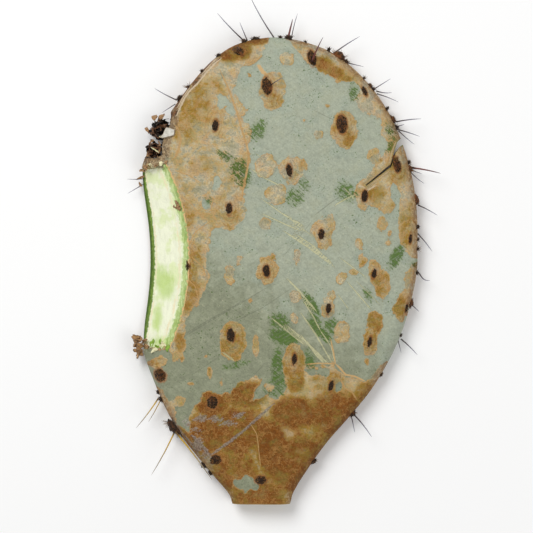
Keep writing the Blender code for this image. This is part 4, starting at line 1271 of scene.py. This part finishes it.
# ---------------------------------------------------------------- small repeated shapes
class Surface:
    """Finds the pad's finished surface over, under or beside a place, in mm."""

    OVER, UNDER = 60.0, -20.0       # heights that lie clear of the pad

    def __init__(self, piece):
        self.piece = piece

    def drop(self, x, y, downward=True):
        start = Vector((x * MM, y * MM, (self.OVER if downward else self.UNDER) * MM))
        heading = Vector((0.0, 0.0, -1.0 if downward else 1.0))
        return self.found(self.piece.ray_cast(start, heading), (x, y))

    def nearest(self, place):
        return self.found(self.piece.closest_point_on_mesh(Vector(place) * MM), place)

    def found(self, answer, place):
        hit, spot, normal, _ = answer
        if not hit:
            raise RuntimeError(f"no pad surface at {place}")
        return np.array(spot) / MM, np.array(normal)


class Heap:
    """Collects many small closed shapes into one piece."""

    def __init__(self):
        self.places = []
        self.faces = []
        self.marks = {}

    def add(self, places, faces, **marks):
        """Adds a shape, with its marks: one number for each place or one for all."""
        start = len(self.places)
        self.places.extend(np.asarray(places).tolist())
        self.faces.extend([[start + corner for corner in face] for face in faces])
        for name, value in marks.items():
            values = np.broadcast_to(np.asarray(value, float), (len(places),))
            self.marks.setdefault(name, []).extend(values.tolist())

    def piece(self, name, material):
        """The collected shapes as one object."""
        made = mesh_piece(name, np.array(self.places) * MM, self.faces, material)
        for mark, values in self.marks.items():
            store(made.data, mark, values)
        return made


def axes_from(normal, toward):
    """Two directions across a normal, the second one as near to toward as it can be, and the normal."""
    normal = normal / np.linalg.norm(normal)
    second = toward - normal * (toward @ normal)
    second = second / np.linalg.norm(second)
    return np.cross(second, normal), second, normal


def dome(rng, centre, axes, half_width, half_length, rise, sink, rough):
    """A low woolly dome: rings of places round its top and a closed underside."""
    across, along, up = axes
    rings, sides = 6, 22
    places = [centre + up * rise * (1.0 + 0.1 * rng.standard_normal())]
    out = [0.0]
    for ring in range(1, rings + 1):
        share = ring / rings
        for side in range(sides):
            angle = math.tau * side / sides
            lobes = 0.10 * rough * math.sin(3 * angle + 0.4 * ring)
            reach = share * (1.0 + lobes + 0.07 * rough * rng.standard_normal())
            lift = 0.16 * rough * rise * rng.standard_normal() * (1.0 - share * 0.5)
            lift = rise * (1.0 - share ** 2.2) + lift
            spot = centre + across * math.cos(angle) * half_width * reach
            spot = spot + along * math.sin(angle) * half_length * reach + up * (lift - sink * share ** 3)
            places.append(spot)
            out.append(share)
    places.append(centre - up * (sink + 0.4))
    out.append(1.0)
    faces = []
    last = 1 + (rings - 1) * sides
    for side in range(sides):
        after = (side + 1) % sides
        faces.append([0, 1 + side, 1 + after])
        for inner in range(1, last, sides):
            outer = inner + sides
            faces.append([inner + side, outer + side, outer + after, inner + after])
        faces.append([last + side, len(places) - 1, last + after])
    return np.array(places), faces, out


def bristle(root, tip, radius):
    """A thin spike with three sides and a closed root."""
    across, along, _ = axes_from(tip - root, np.array((0.31, 0.52, 0.79)))
    thirds = (0.0, 2.094, 4.189)
    corners = [root + (across * math.cos(a) + along * math.sin(a)) * radius for a in thirds]
    return np.array([*corners, tip]), [[0, 1, 3], [1, 2, 3], [2, 0, 3], [0, 2, 1]]


def brush(heap, rng, centre, axes, half_width, half_length, count, length, lean, radius, young):
    """Bristles that stand in an oval and lean outwards."""
    across, along, up = axes
    for _ in range(count):
        angle, reach = rng.uniform(0.0, math.tau), math.sqrt(rng.uniform(0.0, 1.0))
        out = across * math.cos(angle) * half_width + along * math.sin(angle) * half_length
        root = centre + out * reach * 0.92 - up * 0.25
        heading = up * rng.uniform(0.5, 1.0) + out / max(half_width, half_length) * reach * lean
        heading = heading + rng.standard_normal(3) * 0.22
        size = length * rng.uniform(0.45, 1.15)
        tip = root + heading / np.linalg.norm(heading) * size
        places, faces = bristle(root, tip, radius * rng.uniform(0.7, 1.2))
        heap.add(places, faces, shade=np.clip(rng.uniform(0.0, 0.8) + young * 0.3, 0.0, 1.0))


def plate(top, under, cells):
    """A thin closed plate between two grids of places."""
    count = len(top)
    quads = grid_quads(cells, cells)
    border = grid_border(cells, cells)
    faces = quads.tolist() + (quads[:, ::-1] + count).tolist()
    for here, after in zip(border, np.roll(border, -1)):
        faces.append([int(here), int(here) + count, int(after) + count, int(after)])
    return np.vstack([top, under]), faces


def flake(rng, centre, axes, half_width, half_length, thickness, curl, crumple, jag):
    """A torn, curled plate with thickness, and how near each place is to its torn edge."""
    cells = 6
    across, along, up = axes
    flat = disc_places(cells, cells)
    reach = np.hypot(*flat.T)
    angle = np.arctan2(flat[:, 1], flat[:, 0])
    phases = rng.uniform(0.0, math.tau, 4)
    teeth = sum(np.sin(angle * k + phase) / k ** 0.7 for k, phase in zip((2, 3, 5, 8), phases))
    flat = flat * (1.0 + jag * teeth)[:, None]
    lift = curl * flat[:, 0] ** 2 + crumple * ripple(flat * 3.0, 1.6, int(rng.integers(1000)))
    lift = lift + crumple * 0.4 * ripple(flat * 3.0, 0.7, int(rng.integers(1000)))
    spots = centre + flat[:, :1] * half_width * across + flat[:, 1:] * half_length * along
    spots = spots + lift[:, None] * up
    under = spots - up * thickness * (1.0 - 0.5 * reach[:, None])
    return *plate(spots, under, cells), np.concatenate([reach, reach])


def middle_and_half(node):
    """Middle of a solid's box and half its size, with its low and high corners, in mm."""
    low, high = (np.array(corner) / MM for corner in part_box(node))
    return (low + high) / 2, (high - low) / 2, low, high


# ---------------------------------------------------------------- operators, one for each piece or group
CREASE_ANGLE = math.radians(48.0)
SIZE_TOLERANCE = 3.0 * MM
TURN_BETWEEN_FLAKES = 2.399963      # radians, the golden angle


class PRICKLY_OT_blade(Operator):
    """Makes the pad itself: skin, cork, knife cut, wound, slit and stem end in one closed mesh"""

    bl_idname = "prickly_pear.blade"
    bl_label = "Pad"

    def execute(self, context):
        settings = context.scene.prickly_pear_pad
        form = PadForm()
        body = PadMesh(form, settings.cells_across)
        body.build(settings)
        piece = mesh_piece("pad", body.places * MM, body.faces)
        cut_slit(piece)
        piece.data.shade_smooth()
        piece.data.set_sharp_from_angle(angle=CREASE_ANGLE)
        mark_skin(piece, form)
        piece.data.materials.clear()
        piece.data.materials.append(paint_skin(settings))
        low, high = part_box("pad_body")
        size = np.array(piece.dimensions) - np.array(high - low)
        if np.abs(size).max() > SIZE_TOLERANCE:
            raise RuntimeError(f"the pad is off its solid's size by {size}")
        settle(piece, "pad_body")
        return {"FINISHED"}


def areole_axes(normal, tilt):
    """Directions across, along and out of an areole, tilted anticlockwise in degrees."""
    turn = math.radians(tilt)
    return axes_from(normal, np.array((-math.sin(turn), math.cos(turn), 0.0)))


class PRICKLY_OT_felt(Operator):
    """Makes the felt of every areole on the face, the rim and the back, and the glochids of those on the face
    and the rim
    """

    bl_idname = "prickly_pear.felt"
    bl_label = "Areole felt and glochids"
    BEYOND_RIM = 1.04       # the rim's surface is looked for from this much further out

    def face(self, felt, brushes, surface, radius, rng):
        for x, y, width, length, tilt, wool in FACE_AREOLES:
            spot, normal = surface.drop(x, y)
            axes = areole_axes(normal, tilt)
            halves = (width / 2, length / 2)
            places, faces, out = dome(rng, spot, axes, *halves, 0.5 + 0.5 * wool, 0.5, 0.9 + 2.3 * wool)
            felt.add(places, faces, out=out, young=0.05 + 0.85 * wool * rng.uniform(0.0, 1.0, len(places)))
            count = int(26 + 3.2 * width * length)
            brush(brushes, rng, spot, axes, *halves, count, 1.1 + 0.8 * wool, 0.7,
                  radius * (1.0 + 0.6 * wool), wool)
            brush(brushes, rng, spot + axes[2] * 0.5, axes, *halves, int(10 + 60 * wool), 1.9, 1.8,
                  radius * 2.6, wool)

    def rim(self, felt, brushes, surface, radius, rng):
        for x, y, height, length, thickness, bristles, redness in RIM_TUFTS:
            spot, normal = surface.nearest((x * self.BEYOND_RIM, y * self.BEYOND_RIM, height))
            outward = np.array((x, y, 0.0)) / math.hypot(x, y) + normal * 0.6
            along = np.array((-y, x, 0.0))
            axes = axes_from(outward, along)
            places, faces, _ = dome(
                rng, spot, axes, 1.8 + 0.25 * thickness, length / 2, thickness * 0.62, 0.6, 1.9)
            felt.add(places, faces, out=0.3, young=redness * rng.uniform(0.3, 1.2, len(places)))
            count = int(22 + 9 * length)
            brush(brushes, rng, spot + axes[2] * thickness * 0.3, axes, 1.8, length / 2, count,
                  bristles + thickness * 0.3, 1.1, radius * 1.35, redness)

    def back(self, felt, brushes, surface, radius, rng):
        for x, y in back_areoles():
            spot, normal = surface.drop(x, y, downward=False)
            axes = areole_axes(normal, 0.0)
            places, faces, out = dome(rng, spot, axes, 1.8, 2.7, 0.24, 0.5, 0.5)
            places[:, 2] = np.maximum(places[:, 2], 0.02)
            felt.add(places, faces, out=out, young=0.3)

    def execute(self, context):
        settings = context.scene.prickly_pear_pad
        surface = Surface(bpy.data.objects["pad"])
        rng = np.random.default_rng(4)
        wool = paint_felt(settings)
        spike = paint_bristle(settings)
        for side, work in (("face", self.face), ("rim", self.rim), ("back", self.back)):
            felt, brushes = Heap(), Heap()
            work(felt, brushes, surface, settings.bristle_radius / MM, rng)
            settle(felt.piece(side + "_felt", wool))
            if brushes.places:
                settle(brushes.piece(side + "_glochids", spike))
        return {"FINISHED"}


def spine_line(node):
    """Centre line of a CAD spine from base to tip, with its radius at both ends, in mm."""
    mesh = node.data
    places = np.empty(len(mesh.vertices) * 3)
    mesh.vertices.foreach_get("co", places)
    places = np.unique(np.round(places.reshape(-1, 3) / MM, 4), axis=0)
    middle = places.mean(axis=0)
    _, _, directions = np.linalg.svd(places - middle, full_matrices=False)
    heading = directions[0]
    shares = (places - middle) @ heading
    limits = np.linspace(shares.min(), shares.max(), 6)
    slices = [places[(shares >= a - 0.01) & (shares <= b + 0.01)] for a, b in zip(limits, limits[1:])]
    centres = [part.mean(axis=0) for part in slices if len(part) > 2]
    ends = [places[shares < shares.min() + 0.9], places[shares > shares.max() - 0.9]]
    radii = [np.linalg.norm(end - end.mean(axis=0), axis=1).max() for end in ends]
    centres[0], centres[-1] = ends[0].mean(axis=0), ends[1].mean(axis=0)
    if radii[0] < radii[1]:
        centres.reverse()
        radii.reverse()
    return np.array(centres), radii


def spine_mesh(node, settings, root, rng):
    """A fine tapered spine along a CAD spine's centre line, with a swollen base."""
    centres, radii = spine_line(node)
    first = centres[1] - centres[0]
    start = centres[0] - first / np.linalg.norm(first) * root
    line = np.vstack([start, centres])
    travelled = np.concatenate([[0.0], np.cumsum(np.linalg.norm(np.diff(line, axis=0), axis=1))])
    shares = np.linspace(0.0, 1.0, settings.rings)
    path = np.column_stack([
        np.interp(shares * travelled[-1], travelled, line[:, axis]) for axis in range(3)])
    for _ in range(3):
        path[1:-1] = (path[:-2] + 2.0 * path[1:-1] + path[2:]) / 4.0
    across, along, _ = axes_from(path[-1] - path[0], np.array((0.2, 0.3, 0.93)))
    # swollen in the felt, then a slow taper that ends in a blunt point
    places, marks = [], []
    base = radii[0] * 0.94
    for share, spot in zip(shares, path):
        swelling = 1.0 + 0.16 * math.exp(-share * 22.0)
        radius = base * (1.0 - 0.52 * share - 0.36 * share ** 7) * swelling
        for side in range(settings.sides):
            angle = math.tau * side / settings.sides
            wobble = 1.0 + 0.05 * rng.standard_normal()
            places.append(spot + (across * math.cos(angle) + along * math.sin(angle)) * radius * wobble)
            marks.append(share)
    faces = []
    sides = settings.sides
    for ring in range(settings.rings - 1):
        for side in range(sides):
            after = (side + 1) % sides
            low, high = ring * sides, (ring + 1) * sides
            faces.append([low + side, low + after, high + after, high + side])
    faces.append(list(range(sides))[::-1])
    faces.append([(settings.rings - 1) * sides + side for side in range(sides)])
    return np.array(places), faces, marks


STRAW_SPINES = ("spine_lower_left", "spine_base_left")
RED_SPINES = ("spine_right_thick", "spine_tip_broken_stub", "spine_face_top_red")


class PRICKLY_OT_spines(Operator):
    """Makes every spine, each along its own rod of the part"""

    bl_idname = "prickly_pear.spines"
    bl_label = "Spines"

    def execute(self, context):
        settings = context.scene.prickly_pear_spines
        rng = np.random.default_rng(12)
        dark = paint_spine(
            "dark_spine", settings.base, settings.tip, display(40, 26, 24), (0.15, 0.75))
        straw = paint_spine(
            "straw_spine", settings.straw, settings.straw_tip, display(96, 70, 26), (0.20, 0.80))
        red = paint_spine(
            "red_spine", display(112, 58, 50), display(112, 96, 100), display(52, 26, 22), (0.3, 1.0))
        root = settings.root / MM
        for name, node in sorted(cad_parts.items()):
            if not name.startswith("spine_"):
                continue
            places, faces, marks = spine_mesh(node, settings, root, rng)
            pale = name.startswith(STRAW_SPINES)
            material = straw if pale else red if name in RED_SPINES else dark
            piece = mesh_piece(name.replace("spine_", "thorn_"), places * MM, faces, material)
            store(piece.data, "along", marks)
            settle(piece, name)
        return {"FINISHED"}


class PRICKLY_OT_crust(Operator):
    """Makes the two lumps of black dried tissue in the old wound"""

    bl_idname = "prickly_pear.crust"
    bl_label = "Dried crust"

    def lump(self, name, node, material, count, seed):
        middle, half, low, high = middle_and_half(node)
        rng = np.random.default_rng(seed)
        heap = Heap()
        for index in range(count):
            turn = index * TURN_BETWEEN_FLAKES
            reach = 0.72 * math.sqrt((index + 0.5) / count)
            spread = (reach * math.cos(turn), reach * math.sin(turn), rng.uniform(-0.7, 0.75))
            centre = middle + half * spread
            normal = rng.standard_normal(3) * (0.9, 0.9, 0.5) + (0.0, 0.0, 0.5)
            axes = axes_from(normal, rng.standard_normal(3))
            width, length = rng.uniform(1.4, 3.2), rng.uniform(1.8, 4.0)
            curl = rng.uniform(0.2, 1.6)
            places, faces, rim = flake(rng, centre, axes, width, length, 0.7, curl, 0.5, 0.3)
            places = np.clip(places, low - 1.2, high + 1.0)
            heap.add(places, faces, rim=rim * rng.uniform(0.3, 1.1))
        settle(heap.piece(name, material), node)

    def execute(self, context):
        material = paint_crust(context.scene.prickly_pear_dried)
        self.lump("dried_crust_upper", "crust_upper", material, 26, 5)
        self.lump("dried_crust_lower", "crust_lower", material, 22, 8)
        return {"FINISHED"}


class PRICKLY_OT_flap(Operator):
    """Makes the white papery flap of dead skin beside the crust"""

    bl_idname = "prickly_pear.flap"
    bl_label = "Papery flap"

    def execute(self, context):
        _, _, low, high = middle_and_half("skin_flap")
        heap = Heap()
        cells = 16
        u, v = np.meshgrid(np.linspace(0, 1, cells + 1), np.linspace(0, 1, cells + 1), indexing="ij")
        u, v = u.ravel(), v.ravel()
        foot, peak = low[:2] + (0.0, 0.2), low[:2] + (3.6, high[1] - low[1])
        right_low = np.array((high[0] - 0.2, low[1] + 2.0))
        right_high = np.array((high[0], high[1] - 1.0))
        left = foot + (peak - foot) * v[:, None]
        right = right_low + (right_high - right_low) * v[:, None]
        plan = left + (right - left) * u[:, None]
        plan = plan + 0.25 * np.column_stack([ripple(plan, 1.6, 41), ripple(plan, 1.6, 42)])
        hollow = np.exp(-((u - 0.78) ** 2 + (v - 0.55) ** 2) / 0.02)
        lift = high[2] - 0.8 + 1.1 * (1.0 - u) ** 2 + 0.25 * ripple(plan, 2.2, 43) - 0.9 * hollow
        spots = np.column_stack([plan, lift])
        rim = np.maximum(np.abs(u - 0.5), np.abs(v - 0.5)) * 2.0
        heap.add(*plate(spots, spots - (0.0, 0.0, 0.22), cells), rim=np.concatenate([rim, rim]) ** 3)
        piece = heap.piece("papery_flap", paint_paper(context.scene.prickly_pear_dried))
        settle(piece, "skin_flap")
        return {"FINISHED"}


class PRICKLY_OT_scale(Operator):
    """Makes the curled brown scale at the lower end of the knife cut"""

    bl_idname = "prickly_pear.scale"
    bl_label = "Dried scale"

    def execute(self, context):
        middle, half, low, high = middle_and_half("dried_scale")
        rng = np.random.default_rng(9)
        heap = Heap()
        count = 9
        for index in range(count):
            share = index / (count - 1)
            centre = np.array((
                middle[0] + 0.9 + 1.4 * math.sin(index * 2.1), low[1] + (high[1] - low[1]) * share,
                middle[2] + 1.4 * math.cos(index * 1.7)))
            normal = np.array((-0.5, 0.1, 1.0)) + rng.standard_normal(3) * 0.5
            axes = axes_from(normal, rng.standard_normal(3))
            sizes = (half[0] * rng.uniform(0.45, 0.85), rng.uniform(1.6, 2.8), 0.6)
            places, faces, rim = flake(rng, centre, axes, *sizes, rng.uniform(0.4, 1.8), 0.35, 0.28)
            heap.add(places, faces, rim=rim)
        piece = heap.piece("curled_scale", paint_scale(context.scene.prickly_pear_dried))
        settle(piece, "dried_scale")
        return {"FINISHED"}


# Torn shreds at the cut's ends and in the wound: x, y, height (0 lies on the skin), half width,
# half length, tone (0 green, 0.5 cream, 1 brown).
SHREDS = [
    (-76, -43.4, 0, 1.5, 2.4, 0.1), (-72.6, -45.6, 0, 1.8, 1.6, 0), (-69, -44.2, 0, 1.6, 1.8, 0.5),
    (-66.4, -46, 0, 1.6, 1.6, 0.15), (-78.6, -46.4, 0, 1.8, 1.4, 0.9), (-74.4, -47.2, 0, 2, 1.2, 0.5),
    (-79.6, -43.8, 0, 1.4, 2.2, 0.6), (-70.6, -42.4, 0, 1.2, 1.4, 0.2), (-79.6, 61.8, 0, 1.6, 1.3, 1),
    (-76.6, 63.2, 0, 1.6, 1.2, 0.5), (-73.4, 62.6, 0, 1.5, 1.2, 0.9), (-70.4, 64, 0, 1.4, 1.2, 0.55),
    (-67.6, 64.8, 0, 1.4, 1.1, 1), (-60.8, 39.6, 0, 2.2, 2.6, 1), (-59.4, 37.2, 0, 1.6, 1.6, 0.9),
    (-81.6, 60.4, 7.2, 1.1, 2, 1), (-82.8, 56, 6.2, 0.8, 2.6, 0.9), (-83.2, 52, 5.4, 0.6, 2, 1),
    (-79.6, -45.6, 9, 1.4, 2, 0.85), (-80.6, -42, 8.6, 1.2, 1.8, 0.9), (-79, -48.4, 9.6, 1.8, 1, 0.95),
    (-76.4, 66, 11, 2.2, 1.2, 0.9), (-72.4, 66.6, 13, 2, 0.8, 0.8), (-78.4, 69.4, 8, 1.4, 2.2, 0.85),
    (-71.6, 71.6, 12, 0.7, 2, 0.9), (-76, 77.6, 11, 1.5, 0.8, 1), (-79, 84.6, 8.4, 1.2, 2, 0.95),
    (-71.4, 76.2, 12.4, 0.6, 1.8, 0.8), (-70.4, 92.4, 10, 2.4, 1.2, 0.9), (-74.6, 92, 8, 1.4, 2.2, 1),
    (-74, 72.4, 12.4, 0.5, 2.6, 0.5), (-70.2, 80, 13, 0.5, 1.6, 0.5),
]


class PRICKLY_OT_shreds(Operator):
    """Makes the torn bits of skin and flesh at both ends of the knife cut"""

    bl_idname = "prickly_pear.shreds"
    bl_label = "Torn shreds"

    def execute(self, context):
        surface = Surface(bpy.data.objects["pad"])
        rng = np.random.default_rng(15)
        heap = Heap()
        for x, y, height, half_width, half_length, tone in SHREDS:
            if height:
                spot, normal = np.array((x, y, height)), np.array((-0.4, 0.0, 1.0))
            else:
                spot, normal = surface.drop(x, y)
            axes = axes_from(normal + rng.standard_normal(3) * 0.22, rng.standard_normal(3))
            curl = rng.uniform(0.1, 0.7)
            places, faces, _ = flake(
                rng, spot + normal * 0.25, axes, half_width, half_length, 0.45, curl, 0.28, 0.3)
            heap.add(places, faces, tone=tone)
        settle(heap.piece("torn_shreds", paint_shred(context.scene.prickly_pear_dried)))
        return {"FINISHED"}


FLOOR_SIZE, FLOOR_GAP = 8.0, 0.1 * MM
# Lamps: name, place and width in metres, power as a multiple of the key setting.
LAMPS = [("key", (-0.7, 0.9, 1.5), 1.1, 4.0), ("side", (1.1, -0.5, 1.2), 1.2, 1.2)]


class PRICKLY_OT_stage(Operator):
    """Makes the floor, the soft light and the camera that looks down on the pad"""

    bl_idname = "prickly_pear.stage"
    bl_label = "Stage"

    def floor(self, stage):
        bpy.ops.mesh.primitive_grid_add(
            x_subdivisions=2, y_subdivisions=2, size=FLOOR_SIZE, location=(0.0, 0.0, -FLOOR_GAP))
        floor = bpy.context.object
        floor.name = "floor"
        paint = Paint("pale_floor")
        grain = paint.noise(paint.place((3.0, 3.0, 3.0)), 1.0, 2.0)
        tone = paint.mix(grain * 0.3, stage.floor, scaled(stage.floor, 0.97))
        floor.data.materials.append(paint.finish(colour=tone, roughness=0.9, specular=0.1))

    def light(self, name, place, size, power, aim):
        data = bpy.data.lights.new(name, "AREA")
        data.shape = "DISK"
        data.size = size
        data.energy = power
        lamp = bpy.data.objects.new(name, data)
        lamp.location = place
        lamp.rotation_euler = (Vector(aim) - Vector(place)).to_track_quat("-Z", "Y").to_euler()
        bpy.context.scene.collection.objects.link(lamp)

    def execute(self, context):
        stage = context.scene.prickly_pear_stage
        self.floor(stage)
        middle = (cad_low + cad_high) / 2
        for name, place, size, share in LAMPS:
            self.light(name, place, size, stage.key * share, middle)
        world = bpy.data.worlds.new("studio")
        world.use_nodes = True
        surroundings = world.node_tree.nodes["Background"]
        surroundings.inputs["Color"].default_value = (1.0, 1.0, 1.0, 1.0)
        surroundings.inputs["Strength"].default_value = stage.fill
        context.scene.world = world
        context.scene.view_settings.view_transform = "Standard"
        data = bpy.data.cameras.new("camera")
        data.sensor_width = 36.0
        data.lens = data.sensor_width * stage.distance / stage.view_width
        camera = bpy.data.objects.new("camera", data)
        camera.location = (stage.aim_x, stage.aim_y, stage.distance + RIM_HEIGHT * MM)
        context.scene.collection.objects.link(camera)
        context.scene.camera = camera
        return {"FINISHED"}


class PRICKLY_PT_panel(Panel):
    """Lists the pieces of the pad and the stage"""

    bl_idname = "PRICKLY_PT_panel"
    bl_label = "Prickly Pear Pad"
    bl_space_type = "VIEW_3D"
    bl_region_type = "UI"
    bl_category = "Prickly Pear"

    def draw(self, context):
        for operator in OPERATORS:
            self.layout.operator(operator.bl_idname)
        for name in SETTINGS:
            group = getattr(context.scene, name)
            box = self.layout.box()
            for key in group.__annotations__:
                box.prop(group, key)


OPERATORS = (
    PRICKLY_OT_blade, PRICKLY_OT_felt, PRICKLY_OT_spines, PRICKLY_OT_crust, PRICKLY_OT_flap,
    PRICKLY_OT_scale, PRICKLY_OT_shreds, PRICKLY_OT_stage,
)
SETTINGS = {
    "prickly_pear_pad": PadSettings,
    "prickly_pear_spines": SpineSettings,
    "prickly_pear_dried": DriedSettings,
    "prickly_pear_stage": StageSettings,
}


def register():
    for group in (*SETTINGS.values(), *OPERATORS, PRICKLY_PT_panel):
        bpy.utils.register_class(group)
    for name, group in SETTINGS.items():
        setattr(bpy.types.Scene, name, PointerProperty(type=group))


def unregister():
    for name in SETTINGS:
        delattr(bpy.types.Scene, name)
    for group in reversed((*SETTINGS.values(), *OPERATORS, PRICKLY_PT_panel)):
        bpy.utils.unregister_class(group)


def main():
    register()
    bpy.ops.prickly_pear.blade()
    bpy.ops.prickly_pear.felt()
    bpy.ops.prickly_pear.spines()
    bpy.ops.prickly_pear.crust()
    bpy.ops.prickly_pear.flap()
    bpy.ops.prickly_pear.scale()
    bpy.ops.prickly_pear.shreds()
    bpy.ops.prickly_pear.stage()


if __name__ == "__main__":
    main()
